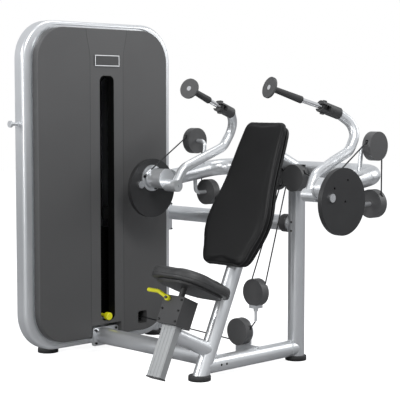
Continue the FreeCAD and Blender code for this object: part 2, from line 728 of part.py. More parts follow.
beam_bar = rod("rear_beam_bar", "frame_beam_radius",
               "-frame_upright_x - frame_beam_stop",
               at("frame_upright_x", 0, "frame_beam_z"), FORWARD)
beam_holes = []
for name in ("beam_hole_a", "beam_hole_b"):
    beam_holes.append(rod("rear_" + name, "frame_hole_radius", "frame_hole",
                          at("-frame_" + name,
                             "frame_beam_radius - frame_hole / 2",
                             "frame_beam_z"), LEFT))
keep(cut("rear_beam", beam_bar, column_bar, upright_bar, *beam_holes))
flange_front = "(tower_front + flange_thick)"
side_bar = rod("side_bar", "frame_side_radius", "-" + flange_front,
               at("frame_side_x", flange_front, "frame_side_z"), LEFT)
tower_bar = cut("tower_bar", side_bar, column_bar, beam_bar)
flange_slab = slab("base_flange", "flange_width", "flange_height",
                   "flange_thick", "flange_corner",
                   at("flange_x", "tower_front", "flange_z"), FACING)
keep(fuse("tower_beam", tower_bar, flange_slab))

feet = []
for name, x, y in (("column", "0", "0"), ("upright", "frame_upright_x", "0"),
                   ("reach", "outrigger_reach", "outrigger_y"),
                   ("outrigger", "outrigger_foot_x", "outrigger_y")):
    feet.append(rod("foot_" + name, "frame_foot_radius", "frame_foot",
                    at(x, y, 0), UP))
keep(group_of("rubber_feet", *feet))

# Crossbar from the upright to the outrigger behind the tower.
crossbar_front = "(crossbar_flange_y + crossbar_flange_thick / 2)"
cross_bar = rod("cross_bar", "crossbar_radius", "-" + crossbar_front,
                at("frame_upright_x", crossbar_front, "crossbar_z"), LEFT)
cross_tube = cut("cross_tube", cross_bar, upright_bar)
cross_flange = block("crossbar_flange",
           ("crossbar_flange_width", "crossbar_flange_thick",
            "crossbar_flange_height"),
           at("frame_upright_x", "crossbar_flange_y",
              "crossbar_z - crossbar_flange_drop"))
keep(fuse("crossbar", cross_tube, cross_flange))
collar_disc = rod("collar_disc", "crossbar_collar_radius", "crossbar_collar",
                  at("frame_upright_x", "crossbar_collar_y - crossbar_collar / 2",
                     "crossbar_z"), LEFT)
keep(cut("crossbar_collar", collar_disc, cross_bar))
outer_post = rod("outer_post", "outrigger_radius",
                 "outrigger_top - outrigger_post_low",
                 at("frame_upright_x", "outrigger_y", "outrigger_post_low"), UP)
outer_beam = rod("outer_beam", "outrigger_beam_radius",
                 "outrigger_reach - frame_upright_x",
                 at("frame_upright_x", "outrigger_y", "outrigger_beam_z"),
                 FORWARD)
outer_stub = rod("outer_stub", "outrigger_beam_radius",
                 "outrigger_beam_z - frame_foot",
                 at("outrigger_reach", "outrigger_y", "frame_foot"), UP)
outer_leg = rod("outer_leg", "outrigger_beam_radius",
                "outrigger_beam_z - frame_foot",
                at("outrigger_foot_x", "outrigger_y", "frame_foot"), UP)
outer_end = doc.addObject("Part::Sphere", "outer_end")
outer_end.setExpression("Radius", "Sizes.outrigger_beam_radius")
outer_end.Placement = FreeCAD.Placement(
    at("outrigger_reach", "outrigger_y", "outrigger_beam_z"),
    FreeCAD.Rotation())
outer_spacer = between("outer_spacer",
                       ("frame_upright_x - outrigger_tie_depth / 2",
                        "outrigger_y", "outrigger_tie_bottom - outrigger_tie_depth"),
                       ("frame_upright_x + outrigger_tie_depth / 2",
                        "crossbar_flange_y - crossbar_flange_thick / 2",
                        "outrigger_tie_top"))
outer_tie = between("outer_tie",
                    ("frame_upright_x", "outrigger_y - outrigger_tie_depth / 2",
                     "outrigger_tie_bottom"),
                    ("outrigger_tie_end",
                     "outrigger_y + outrigger_tie_depth / 2",
                     "outrigger_tie_top"))
keep(fuse("outrigger", outer_post, outer_beam, outer_stub, outer_leg, outer_end,
          outer_spacer, outer_tie))

# Bolt heads on the two flanges.
bolts = []
for name, x, z in (("a", "-", "-"), ("b", "+", "-"), ("c", "-", "+"),
                   ("d", "+", "+")):
    bolts.append(rod("base_bolt_" + name, "flange_bolt_radius",
                     "flange_bolt_head",
                     at("flange_x " + x + " flange_bolt_x", flange_front,
                        "flange_z " + z + " flange_bolt_z"), LEFT))
    bolts.append(rod("cross_bolt_" + name, "flange_bolt_radius / 2",
                     "flange_bolt_head",
                     at("frame_upright_x " + x
                        + " (crossbar_flange_width / 2 - flange_bolt_radius)",
                        crossbar_front,
                        "crossbar_z - crossbar_flange_drop " + z
                        + " (crossbar_flange_height / 2 - flange_bolt_radius)"),
                     LEFT))
keep(group_of("flange_bolts", *bolts))

# Seat: fixed beam and housing, sliding post, cap, stem, board, pad and latch.
post_foot = at("post_x", 0, "post_z")


def on_post(rise, out, aside):
    """A place by its rise along the seat post, its way out and aside."""
    return (post_foot + SLOPE * value(rise) + OUT * value(out)
            + LEFT * value(aside))


def tilted_block(label, low, high, back, front, right, left):
    """A box square to the seat post, between limits along and across it."""
    sizes = ("(" + front + ") - (" + back + ")", "(" + left + ") - (" + right + ")",
             "(" + high + ") - (" + low + ")")
    center = on_post("((" + high + ") + (" + low + ")) / 2",
                     "((" + front + ") + (" + back + ")) / 2",
                     "((" + left + ") + (" + right + ")) / 2")
    return block(label, sizes, center, TILTED)


keep(tilted_block("seat_post", "post_low", "post_high", "-post_thick / 2",
                  "post_thick / 2", "-post_width / 2", "post_width / 2"))
keep(tilted_block("post_cap", "post_low - post_cap", "post_low",
                  "-post_thick / 2 - post_cap_lip",
                  "post_thick / 2 + post_cap_lip",
                  "-post_width / 2 - post_cap_lip",
                  "post_width / 2 + post_cap_lip"))
bore_low = "housing_low - housing_screw_radius"
bore_high = "housing_high + housing_screw_radius"
post_bore = tilted_block("post_bore", bore_low, bore_high,
                         "-post_thick / 2 - post_slack",
                         "post_thick / 2 + post_slack",
                         "-post_width / 2 - post_slack",
                         "post_width / 2 + post_slack")
housing_halves = []
for name, back, front in (("rear", "-housing_back", "0"),
                          ("front", "0", "housing_front")):
    outside = tilted_block("housing_block_" + name, "housing_low",
                           "housing_high", back, front, "-housing_width / 2",
                           "housing_width / 2")
    housing_halves.append(cut("housing_half_" + name, outside, post_bore))
housing_halves[0].Label = "seat_housing_rear"
keep(housing_halves[0])
# The seat latch lies where the highest screw on its own side would be.
SCREWS = (("housing_screw_a", "-"), ("housing_screw_a", ""),
          ("housing_screw_b", "-"), ("housing_screw_b", ""),
          ("housing_screw_c", ""))
screws = []
for order, (rise, side) in enumerate(SCREWS):
    screws.append(rod("housing_screw_" + str(order), "housing_screw_radius",
                      "housing_screw_head",
                      on_post(rise, "housing_front", side + "housing_screw_y"),
                      OUT))
keep(group_of("housing_screws", *screws))
seat_bar = rod("seat_bar", "seat_beam_radius", "seat_beam_length",
               column_at(value("frame_side_z + frame_column_radius")), OUT)
beam_limit = tilted_block("beam_limit", "housing_low",
                          "housing_high",
                          "-housing_back", "seat_beam_length",
                          "-housing_width", "housing_width")
beam_post_gap = tilted_block("beam_post_gap", "-2 * seat_beam_radius",
                             "2 * seat_beam_radius",
                             "-post_thick / 2 - housing_beam_gap",
                             "seat_beam_length", "-housing_width",
                             "housing_width")
keep(cut("seat_beam", seat_bar, column_bar, side_bar, beam_limit,
         beam_post_gap))

seat_stem = rod("seat_stem", "post_stem / 2",
                "seat_low - seat_board - post_high",
                on_post("post_high", 0, 0), SLOPE)
seat_plate = slab("seat_plate", "seat_board_size", "seat_board_size", "seat_board",
                  "seat_board_corner",
                  on_post("seat_low - seat_board", "seat_shift", 0), TILTED)
keep(fuse("seat_board", seat_stem, seat_plate))
keep(slab("seat_pad", "seat_size", "seat_size", "seat_thick", "seat_corner",
          on_post("seat_low + seat_gap", "seat_shift", 0), TILTED,
          edge="seat_crown", both="seat_base"))

boss_start = on_post("latch_rise", "housing_front", "latch_y")
latch_proud = "latch_boss / 2 + latch_radius"
latch_pin = rod("latch_post", "latch_pin_radius", latch_proud + " + latch_bracket",
                boss_start, OUT)
latch_cap = rod("latch_cap", "latch_boss_radius / 2 + latch_pin_slack",
                "latch_bracket",
                boss_start + OUT * value(latch_proud + " + 2 * latch_gap"),
                OUT)
keep(fuse("seat_housing_front", housing_halves[1], latch_pin, latch_cap))
latch_boss = rod("latch_boss", "latch_boss_radius", "latch_boss",
                 boss_start + OUT * value("latch_gap"), OUT)
latch_bore = rod("latch_bore", "latch_pin_radius + latch_pin_slack",
                 "2 * latch_boss", boss_start, OUT)
latch_middle = boss_start + OUT * value("latch_gap + latch_boss / 2")
latch_knee = latch_middle + RIGHT * value("latch_knee") + SLOPE * value(
    "latch_knee_rise")
latch_tip = latch_middle + RIGHT * value("latch_reach") + SLOPE * value(
    "latch_knee_rise")
latch_arm = tube("latch_arm", "latch_radius", [latch_middle, latch_knee,
                                               latch_tip],
                 "latch_knee / 2")
latch_end = doc.addObject("Part::Sphere", "latch_end")
latch_end.setExpression("Radius", "Sizes.latch_radius")
latch_end.Placement = FreeCAD.Placement(latch_tip, FreeCAD.Rotation())
latch_slice = tilted_block("latch_slice", "latch_rise - latch_boss_radius",
                           "latch_rise + latch_reach", "housing_back * -1",
                           "housing_front + latch_gap", "-latch_reach * 2",
                           "latch_reach")
latch_whole = fuse("latch_whole", latch_boss, latch_arm, latch_end)
keep(cut("seat_latch", latch_whole, latch_bore, latch_slice))


# Back pad, its board and the saddles on the column.
def pad_outline(label, share):
    """The closed outline of the pad, shrunk to a share about its middle."""
    middle = value("(back_low + back_high) / 2")
    side = []
    for order in range(len(PAD_WIDTHS)):
        reach = value("pad_row_" + str(order) + "_reach")
        half = value("pad_row_" + str(order) + "_half") * share
        side.append((middle + (reach - middle) * share, half))
    left = [SLOPE * reach + LEFT * half for reach, half in side]
    right = [SLOPE * reach - LEFT * half for reach, half in reversed(side)]
    edges = []
    for curve_points in (left, right):
        curve = Part.BSplineCurve()
        curve.interpolate(Points=curve_points)
        edges.append(curve.toShape())
    edges.insert(1, Part.makeLine(left[-1], right[0]))
    edges.append(Part.makeLine(right[-1], left[0]))
    item = doc.addObject("Part::Feature", label)
    item.Shape = Part.Wire(edges)
    return item


def pad_layer(label, share, thick, start):
    """A layer of the back pad, standing off the column's centre line."""
    item = doc.addObject("Part::Extrusion", label)
    item.Label = label
    item.Base = pad_outline(label + "_outline", share)
    item.DirMode = "Custom"
    item.Dir = OUT
    item.Solid = True
    item.setExpression("LengthFwd", linked(thick))
    item.Placement = FreeCAD.Placement(OUT * value(start), FreeCAD.Rotation())
    return item


pad_block = pad_layer("back_block", 1, "back_thick", "back_front - back_thick")
doc.recompute()
keep(pad_layer("back_board", value("back_board_share"), "back_board",
               "back_front - back_thick - back_gap - back_board"))
rounded = doc.addObject("Part::Fillet", "back_pad")
rounded.Label = "back_pad"
rounded.Base = pad_block
rims = []
for order, line in enumerate(pad_block.Shape.Edges):
    if line.Length > value("back_front"):
        rims.append((order + 1, value("back_edge"), value("back_edge")))
rounded.Edges = rims
keep(rounded)
saddles = []
for name in ("saddle_a", "saddle_b"):
    reach = "back_front - back_thick - back_gap - back_board"
    center = (SLOPE * value("back_" + name)
              + OUT * value("(" + reach + ") / 2"))
    saddle = block("back_" + name, (reach, "back_saddle",
                                    "back_saddle_length"), center, TILTED)
    saddles.append(cut("back_fit_" + name, saddle, column_bar))
keep(fuse("column", column_body, *saddles))


# Lever sets: fixed hubs, shafts, drums, discs, arms, forks and handles.
def from_pivot(x, y, z):
    """A place given by offsets from the pivot and a distance aside."""
    return at("pivot_x + (" + str(x) + ")", y, "pivot_z + (" + str(z) + ")")


hub_block = rod("hub_block", "hub_radius", "hub_outer - hub_inner",
                from_pivot(0, "hub_inner", 0), LEFT)
hub_bore = rod("hub_bore", "hub_shaft_radius + hub_slack",
               "hub_outer - hub_inner", from_pivot(0, "hub_inner", 0), LEFT)
hub_housing = cut("hub_housing", hub_block, hub_bore)
keep(group_of("hub_housings", hub_housing,
              mirrored("hub_housing_far", hub_housing)))
foot_start = from_pivot("-foot_tube_drop / 15", "foot_tube_inner",
                        "-foot_tube_drop")
foot_bar = rod("foot_bar", "foot_tube_radius",
               "hub_web_inner - foot_tube_inner", foot_start, LEFT)
foot_web = rod("foot_web", "hub_web_radius", "hub_web",
               from_pivot(0, "hub_web_inner", 0), LEFT)
foot_dimple = rod("foot_dimple", "foot_tube_hole_radius", "foot_tube_hole",
                  foot_start, LEFT)
foot_whole = fuse("foot_whole", foot_bar, foot_web)
lever_foot = cut("lever_foot", foot_whole, foot_dimple)
shaft_start = "hub_web_inner + hub_web"
lever_shaft = rod("lever_shaft", "hub_shaft_radius",
                  "plate_inner - plate_flange - (" + shaft_start + ")",
                  from_pivot(0, shaft_start, 0), LEFT)

# The cable runs on at the upper pulley's height and meets the drum here.
upper_pulley = points("upper_pulley")[0]
track = value("wheel_track")
drum_center = Vector(value("pivot_x"), upper_pulley.y, value("pivot_z"))
run = (drum_center - upper_pulley).normalize()
lift = LEFT.cross(run) * -1
drum_touch = drum_center + lift * track
fitting = rod("cable_fitting", "rope_fitting_radius", "rope_fitting",
              drum_touch, run)
drum_block = rod("drum_block", "hub_drum_radius",
                 "hub_drum_outer - hub_drum_inner",
                 from_pivot(0, "hub_drum_inner", 0), LEFT)
drum_bore = rod("drum_bore", "hub_shaft_radius",
                "hub_drum_outer - hub_drum_inner",
                from_pivot(0, "hub_drum_inner", 0), LEFT)
groove_start = drum_center - LEFT * value("hub_groove / 2")
groove_block = rod("groove_block", "hub_drum_radius + hub_groove", "hub_groove",
                   groove_start, LEFT)
groove_core = rod("groove_core", "wheel_track - rope_radius - rope_slack / 8",
                  "hub_groove", groove_start, LEFT)
groove_ring = cut("groove_ring", groove_block, groove_core)
cable_drum = cut("cable_drum", drum_block, drum_bore, groove_ring)

flange_block = rod("hub_flange_block", "plate_flange_radius", "plate_flange",
                   from_pivot(0, "plate_inner - plate_flange", 0), LEFT)
disc_block = rod("disc_block", "plate_radius", "plate_thick",
                 from_pivot("-plate_stop_in", "plate_inner", "-plate_drop"),
                 LEFT)
stop_pin = rod("stop_pin", "plate_stop_radius",
               "plate_thick + plate_stop_in + plate_stop_out",
               from_pivot("plate_stop_x", "plate_inner - plate_stop_in",
                          "-plate_stop_drop"), LEFT)
holes = []
screws = []
for order in range(3):
    angle = math.radians(value("plate_screw_turn") + order * 120)
    offset = (FORWARD * math.cos(angle) + UP * math.sin(angle)) * value(
        "plate_screw_circle")
    inner_face = from_pivot(0, "plate_inner - plate_flange", 0) + offset
    holes.append(rod("disc_hole_" + str(order), "plate_screw_radius",
                     "plate_thick + plate_flange", inner_face, LEFT))
    shank = rod("disc_shank_" + str(order), "plate_screw_radius",
                "plate_thick + plate_flange - plate_screw_sink", inner_face,
                LEFT)
    head = rod("disc_head_" + str(order), "plate_head_radius", "plate_head",
               inner_face, RIGHT)
    screws.append(fuse("disc_screw_" + str(order), shank, head))
hub_flange = cut("hub_flange", flange_block, stop_pin, *holes)
hub_drum = fuse("hub_drum_left", lever_shaft, cable_drum, fitting, hub_flange)
weight_disc = cut("lever_disc_left", disc_block, stop_pin, *holes)
disc_screws = group_of("disc_screws_left", stop_pin, *screws)

arm_tube = tube("arm_tube", "lever_radius", points("lever"), "lever_bend")
arm_body = cut("arm_body", arm_tube, foot_bar)
fork_start, fork_tip = points("fork")
fork_way = (fork_tip - fork_start).normalize()
fork_up = (UP - fork_way * UP.dot(fork_way)).normalize()
fork_turn = FreeCAD.Rotation(fork_way, fork_up.cross(fork_way), fork_up, "ZXY")
fork_bar = new("Part::Cylinder", "fork_bar", Radius="fork_radius")
fork_bar.Height = (fork_tip - fork_start).Length
fork_bar.Placement = FreeCAD.Placement(fork_start, turn_to(fork_way))
fork_slot = block("fork_slot", ("fork_slot_length", "3 * fork_radius",
                                "fork_slot"),
                  fork_tip - fork_way * value("fork_slot_length / 2"),
                  fork_turn)
pin_center = fork_tip - fork_way * value("fork_pin_back")
fork_pin_bar = rod("fork_pin_bar", "fork_pin_radius", "2 * fork_radius",
                   pin_center - fork_up * value("fork_radius"), fork_up)
pin_caps = []
for name, side in (("over", 1), ("under", -1)):
    pin_caps.append(rod("pin_cap_" + name, "fork_pin_head", "fork_pin_cap",
                        pin_center + fork_up * (side * value("fork_radius")),
                        fork_up * side))
fork_sleeve = cut("fork_sleeve", fork_bar, arm_tube, fork_slot)
lever_arm = fuse("lever_arm_left", lever_foot, arm_body, fork_sleeve,
                 fork_pin_bar, *pin_caps)

grip_start, grip_end = points("grip")
grip_way = (grip_end - grip_start).normalize()
rod_way = (grip_start - pin_center).normalize()
eye = rod("handle_eye", "handle_eye_radius", "handle_eye",
          pin_center - fork_up * value("handle_eye / 2"), fork_up)
eye_bore = rod("handle_eye_bore", "fork_pin_radius + fork_pin_slack",
               "2 * handle_eye", pin_center - fork_up * value("handle_eye"),
               fork_up)
handle_bar = tube("handle_bar", "handle_rod_radius",
                  [pin_center, grip_start,
                   grip_end + grip_way * value("handle_stop")],
                  "handle_stop_radius")
handle_whole = fuse("handle_whole", eye, handle_bar)
handle_rod = cut("handle_rod_left", handle_whole, eye_bore)
grip_length = (grip_end - grip_start).Length
grip_bar = new("Part::Cylinder", "grip_bar", Radius="handle_grip_radius")
grip_bar.Height = grip_length
grip_bar.Placement = FreeCAD.Placement(grip_start, turn_to(grip_way))
grip_collar = rod("grip_collar", "handle_collar_radius", "handle_collar",
                  grip_start, grip_way)
grip_whole = fuse("grip_whole", grip_bar, grip_collar)
grip = cut("handle_grip_left", grip_whole, handle_bar)
stop_disc = rod("stop_disc", "handle_stop_radius", "handle_stop", grip_end,
                grip_way)
hand_stop = cut("hand_stop_left", stop_disc, handle_bar)
LEVER_PARTS = (lever_arm, hub_drum, weight_disc, disc_screws, handle_rod, grip,
               hand_stop)
for item in LEVER_PARTS:
    keep(item)
    keep(mirrored(item.Label.replace("left", "right"), item))


# Pulleys: wheel, covered drum, axle bolt and cable runs.
def cover(label, center, axis, *ways):
    """A round guard round a wheel, open where the cable passes."""
    start = center - axis * value("cover_depth / 2")
    body = rod(label + "_body", "cover_radius", "cover_depth", start, axis)
    inside = rod(label + "_inside", "cover_inner_radius",
                 "cover_depth - 2 * cover_wall",
                 start + axis * value("cover_wall"), axis)
    openings = []
    for order, (place, way) in enumerate(ways):
        turn = FreeCAD.Rotation(axis, axis.cross(way), way, "ZXY")
        openings.append(block(label + "_way_" + str(order),
                              ("cover_rim_slot + 2 * rope_slack",
                               "cover_rim_slot + 2 * rope_slack",
                               "2 * cover_radius"),
                              place + way * value("cover_radius"), turn))
    return cut(label, body, inside, *openings)


def arc_between(center, start, through, end):
    """An arc about a centre from one direction through another to a third."""
    return Part.Arc(center + start.normalize() * track,
                    center + through.normalize() * track,
                    center + end.normalize() * track).toShape()


def crossing(first, second, axis):
    """Where a crossed straight run leaves one wheel and meets the next."""
    line = second - first
    tilt = math.acos(2 * track / line.Length)
    turn = FreeCAD.Rotation(axis, math.degrees(tilt))
    side = turn.multVec(line.normalize())
    return side, side * -1


upper = upper_pulley
lower = points("lower_pulley")[0]
center_pulley = points("center_pulley")[0]
moving = points("moving_pulley")[0]
base = points("base_pulley")[0]
tower_pulley = points("tower_pulley")[0]
top_a, top_b = points("top_pulley")

# Left cable: drum, upper wheel, lower wheel, centre wheel.
leave, meet = crossing(lower, center_pulley, FORWARD)
rope_left = Part.Wire([
    Part.makeLine(drum_touch, upper + lift * track),
    arc_between(upper, Vector(lift), (lift + BACKWARD), Vector(BACKWARD)),
    Part.makeLine(upper + BACKWARD * track, lower + LEFT * track),
    arc_between(lower, Vector(LEFT), LEFT + leave, Vector(leave)),
    Part.makeLine(lower + leave * track, center_pulley + meet * track),
    arc_between(center_pulley, Vector(meet), meet + RIGHT, Vector(RIGHT)),
])
cable_left = sweep("cable_left", "rope_radius", rope_left)

PULLEYS = (
    ("upper", upper, LEFT,
     ((upper + lift * track, run), (upper + BACKWARD * track, Vector(DOWN)))),
    ("lower", lower, FORWARD,
     ((lower + LEFT * track, Vector(UP)),
      (lower + leave * track,
       (center_pulley + meet * track - lower - leave * track).normalize()))),
    ("center", center_pulley, FORWARD,
     ((center_pulley + meet * track,
       (lower + leave * track - center_pulley - meet * track).normalize()),
      (center_pulley + RIGHT * track,
       (moving + LEFT * track - center_pulley - RIGHT * track).normalize()))),
)
covers = []
for name, center, axis, ways in PULLEYS:
    near_cover = cut(name + "_guard", cover(name + "_cover", center, axis, *ways),
                     yoke_tube, brace_bar)
    covers += [near_cover, mirrored(name + "_cover_far", near_cover)]
keep(group_of("upper_cables", cable_left, mirrored("cable_right", cable_left)))

# Strands from the centre wheels down to the moving pulley, and its bight.
strand_start = center_pulley + RIGHT * track
strand_end = moving + LEFT * track
strand = new("Part::Cylinder", "strand_left", Radius="rope_radius")
strand.Height = (strand_end - strand_start).Length - value("2 * rope_gap")
fall_line = (strand_end - strand_start).normalize()
strand.Placement = FreeCAD.Placement(strand_start + fall_line * value("rope_gap"),
                                     turn_to(fall_line))
keep(group_of("cable_strands", strand, mirrored("strand_right", strand)))
bight = Part.Wire([arc_between(moving, Vector(LEFT), Vector(DOWN),
                               Vector(RIGHT))])
keep(sweep("cable_bight", "rope_radius", bight))
rise = (strand_start - strand_end).normalize()
fall = Vector(rise.x, -rise.y, rise.z)
keep(cover("moving_cover", moving, Vector(FORWARD),
           (strand_end, rise),
           (moving + RIGHT * track, fall)))
cover_body = doc.getObject("moving_cover_body")
bridge = block("clevis_bridge", ("clevis_length", "clevis_width",
                                 "clevis_bridge"),
               moving + DOWN * value("clevis_drop - clevis_bridge / 2"))
shoe = cut("clevis_shoe", bridge, cover_body)
neck = rod("clevis_neck", "clevis_neck_radius", "clevis_neck",
           moving + DOWN * value("clevis_drop"), DOWN)
stud_start = moving + DOWN * value("clevis_drop + clevis_neck")
stud = rod("clevis_stud", "clevis_stud_radius", "clevis_stud", stud_start, DOWN)
keep(fuse("moving_clevis", shoe, neck, stud))
stud_end = stud_start + DOWN * value("clevis_stud")
riser_end = base + LEFT * track
riser = new("Part::Cylinder", "cable_riser", Radius="rope_radius")
riser.Height = (riser_end - stud_end).Length - value("2 * rope_riser_gap")
riser_line = (stud_end - riser_end).normalize()
riser.Placement = FreeCAD.Placement(riser_end + riser_line * value("rope_riser_gap"),
                                    turn_to(riser_line))
keep(riser)

# Low cable: base wheel, tower wheel, top wheels, then down to the stack.
low_line = tower_pulley - base
under = FORWARD.cross(low_line).normalize()
if under.z > 0:
    under = under * -1
rope_low = Part.Wire([
    arc_between(base, Vector(LEFT), LEFT + under, Vector(under)),
    Part.makeLine(base + under * track, tower_pulley + under * track),
    arc_between(tower_pulley, Vector(under), under + RIGHT, Vector(RIGHT)),
    Part.makeLine(tower_pulley + RIGHT * track, top_a + BACKWARD * track),
    arc_between(top_a, Vector(BACKWARD), BACKWARD + UP, Vector(UP)),
    Part.makeLine(top_a + UP * track, top_b + UP * track),
    arc_between(top_b, Vector(UP), UP + FORWARD, Vector(FORWARD)),
])
keep(sweep("cable_low", "rope_radius", rope_low))
drop_end = at("stack_x", "stack_y",
              top_rise + " + stack_top_plate + selector_above")
drop_start = top_b + FORWARD * track
drop = new("Part::Cylinder", "cable_stack_drop", Radius="rope_radius")
drop.Height = (drop_start - drop_end).Length
drop.Placement = FreeCAD.Placement(drop_end, turn_to(drop_start - drop_end))
keep(drop)
low_way = (tower_pulley - base).normalize()
covers.append(cover("base_cover", base, Vector(FORWARD),
                    (base + LEFT * track, (stud_end - riser_end).normalize()),
                    (base + under * track, low_way)))
covers.append(cover("tower_cover", tower_pulley, Vector(FORWARD),
                    (tower_pulley + under * track, low_way * -1),
                    (tower_pulley + RIGHT * track, Vector(UP))))
covers.append(cover("top_cover_a", top_a, Vector(LEFT),
                    (top_a + BACKWARD * track, Vector(DOWN)),
                    (top_a + UP * track, Vector(FORWARD))))
covers.append(cover("top_cover_b", top_b, Vector(LEFT),
                    (top_b + UP * track, Vector(BACKWARD)),
                    (top_b + FORWARD * track, Vector(DOWN))))
keep(group_of("pulley_covers", *covers))

# Pulley brackets.
center_x = "(center_pulley_point_0_along - cover_depth / 2)"
center_z = "center_pulley_point_0_above"
center_plate = between("center_plate",
                       (center_x + " - bracket_thick", "-bracket_center_width / 2",
                        center_z + " - bracket_width / 2"),
                       (center_x, "bracket_center_width / 2",
                        center_z + " + bracket_center_height - bracket_width"))
center_ribs = []
for name, side in (("left", ""), ("right", "-")):
    middle = at(center_x + " - bracket_width / 2",
                side + "center_pulley_point_0_aside",
                "frame_upright_top")
    center_ribs.append(block("center_rib_" + name,
                             ("bracket_width", "bracket_width",
                              "bracket_thick"), middle))
center_whole = fuse("center_whole", center_plate, *center_ribs)
keep(cut("center_bracket", center_whole, yoke_tube, brace_bar))

hangers = []
for name in ("upper_strap", "lower_strap"):
    strap = tube(name + "_tube", "strap_radius", points(name), "strap_bend")
    hanger = cut(name, strap, yoke_tube)
    hangers += [hanger, mirrored(name + "_far", hanger)]
keep(group_of("pulley_hangers", *hangers))

base_x = "(base_pulley_point_0_along - cover_depth / 2)"
base_disc = rod("base_disc", "cover_radius - cover_edge", "bracket_thick",
                base + BACKWARD * value("cover_depth / 2"), BACKWARD)
base_plate = between("base_plate",
                     (base_x + " - bracket_thick",
                      "base_pulley_point_0_aside - bracket_width",
                      "frame_beam_z"),
                     (base_x,
                      "base_pulley_point_0_aside + bracket_width",
                      "base_pulley_point_0_above"))
base_arm = between("base_arm",
                   (base_x + " - bracket_thick", "-bracket_width",
                    "frame_beam_z"),
                   (base_x, "frame_beam_radius / 2",
                    "frame_beam_z + frame_beam_radius + bracket_thick"))
base_whole = fuse("base_whole", base_disc, base_plate, base_arm)
keep(cut("base_bracket", base_whole, beam_bar))

# Check every object and write each sub-part to its own file.
doc.recompute()
for item in doc.Objects:
    if "Invalid" in item.State or "Error" in item.State:
        raise RuntimeError("not built: " + item.Label)
os.makedirs("parts", exist_ok=True)
for item in PIECES:
    if item.Shape.isNull() or not item.Shape.isValid():
        raise RuntimeError("not a sound shape: " + item.Label)
    item.Shape.exportStep("parts/" + item.Label + ".step")
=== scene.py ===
"""Looks for a seated triceps extension machine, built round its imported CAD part."""

import math

import bmesh
import bpy
from bpy.props import FloatProperty, FloatVectorProperty, IntProperty, PointerProperty
from bpy.types import Operator, Panel, PropertyGroup
from mathutils import Matrix, Vector
from mathutils.bvhtree import BVHTree


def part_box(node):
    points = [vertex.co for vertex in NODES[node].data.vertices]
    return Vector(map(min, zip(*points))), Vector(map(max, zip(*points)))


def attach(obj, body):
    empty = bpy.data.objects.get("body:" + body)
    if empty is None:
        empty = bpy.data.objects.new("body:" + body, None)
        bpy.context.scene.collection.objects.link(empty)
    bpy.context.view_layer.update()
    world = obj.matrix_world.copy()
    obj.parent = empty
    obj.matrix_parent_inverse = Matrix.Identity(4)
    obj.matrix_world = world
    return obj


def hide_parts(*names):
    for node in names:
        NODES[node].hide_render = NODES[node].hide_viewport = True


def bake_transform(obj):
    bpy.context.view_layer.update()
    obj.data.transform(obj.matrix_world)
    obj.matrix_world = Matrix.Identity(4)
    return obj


bl_info = {
    "name": "Triceps machine looks",
    "version": (1, 0, 0),
    "blender": (4, 5, 0),
    "location": "View3D > Sidebar > Machine",
    "description": "Dresses the CAD frame of a seated triceps extension machine",
    "category": "Object",
}

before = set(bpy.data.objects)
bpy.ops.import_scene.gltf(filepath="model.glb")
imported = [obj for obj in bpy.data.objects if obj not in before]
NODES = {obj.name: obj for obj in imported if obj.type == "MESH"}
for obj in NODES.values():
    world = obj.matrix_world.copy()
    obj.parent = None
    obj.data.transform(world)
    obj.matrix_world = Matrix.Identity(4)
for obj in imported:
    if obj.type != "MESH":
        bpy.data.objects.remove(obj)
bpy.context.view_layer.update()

X_AXIS = Vector((1, 0, 0))
Y_AXIS = Vector((0, 1, 0))
Z_AXIS = Vector((0, 0, 1))
SIDES = (("left", 1), ("right", -1))

# Lines and points of the part's source, in millimetres, on the left, where y is more
# than 0.
MM = 0.001
FORK_LINE = ((-510, 320, 1118), (-408, 303, 1150))
SLEEVE_START = 2
GRIP_LINE = ((-324, 275, 1175), (-173, 239, 1224))
FORK_PIN = (-426.8, 306.1, 1144.1)
BORED_HOLES = (((-571, 0, 590), X_AXIS), ((-571, 0, 630), X_AXIS),
               ((-96, 36, 56), Y_AXIS), ((-128, 36, 56), Y_AXIS))

# The way that the column leans, and the way square to it that the back pad faces.
BACK_SLOPE = Vector((-0.414693, 0, 0.909961))
BACK_OUT = Vector((0.909961, 0, 0.414693))

# All lengths from here on are in metres. A pair of them is where a mask's edge starts
# and ends.
# Where the outrigger is painted near-black as shade, inside the tower.
TIE_ACROSS = (-0.40, -0.395)
TIE_HEIGHT = (0.5, 0.52)

PANEL_MIDDLE = -0.086
# Heights over which the panel's painted shade goes from its darker bottom to its top.
PANEL_SHADING = (0.1, 1.5)
BAND_FLARE = 0.022
BAND_FLARE_HEIGHT = (1.36, 1.5)
BAND_HALF = 0.098
BAND_EDGE = (0.094, 0.100)
CREASE_EDGE = (0.0006, 0.0022)
# Edges of the slot, whose inner walls are painted near-black as shade.
SLOT_SIDE = (0.0421, 0.0423)
SLOT_BOTTOM = (0.1, 0.14)
SLOT_TOP = (1.2885, 1.289)
SLOT_BACK = (-0.7015, -0.7011)

PLATE_MIDDLE = (-0.087, 1.356)
PLATE_HALF = (0.074, 0.027)
PLATE_BORDER_OUT = (-0.0022, -0.0012)
PLATE_BORDER_IN = (-0.0062, -0.0052)

STOP_PIN = (-0.162, 0.791)
STOP_PIN_EDGE = (0.0185, 0.0195)

SAME_POINT = 0.00002
# A thin near-black disc sunk in each bored hole, as painted shade inside the hole.
SHADE_DISC_RADIUS = 0.0054
SHADE_DISC_SUNK = 0.0022
SHADE_DISC_DEEP = 0.0008
SHADE_DISC_STEPS = 24

# Centre, direction and radius of each weld bead, and the radius of its round partner.
BEADS = (((-0.609, -0.037, 0.620), Y_AXIS, 0.0355, 0.038),
         ((-0.609, -0.867, 0.620), Y_AXIS, 0.0355, None),
         ((-0.571, 0, 0.056), -X_AXIS, 0.0362, 0.038))
BEAD_POINTS = 240
BEAD_RIPPLE_POINTS = 6
BEAD_RADIUS = 0.0024
BEAD_RIPPLE = 0.16

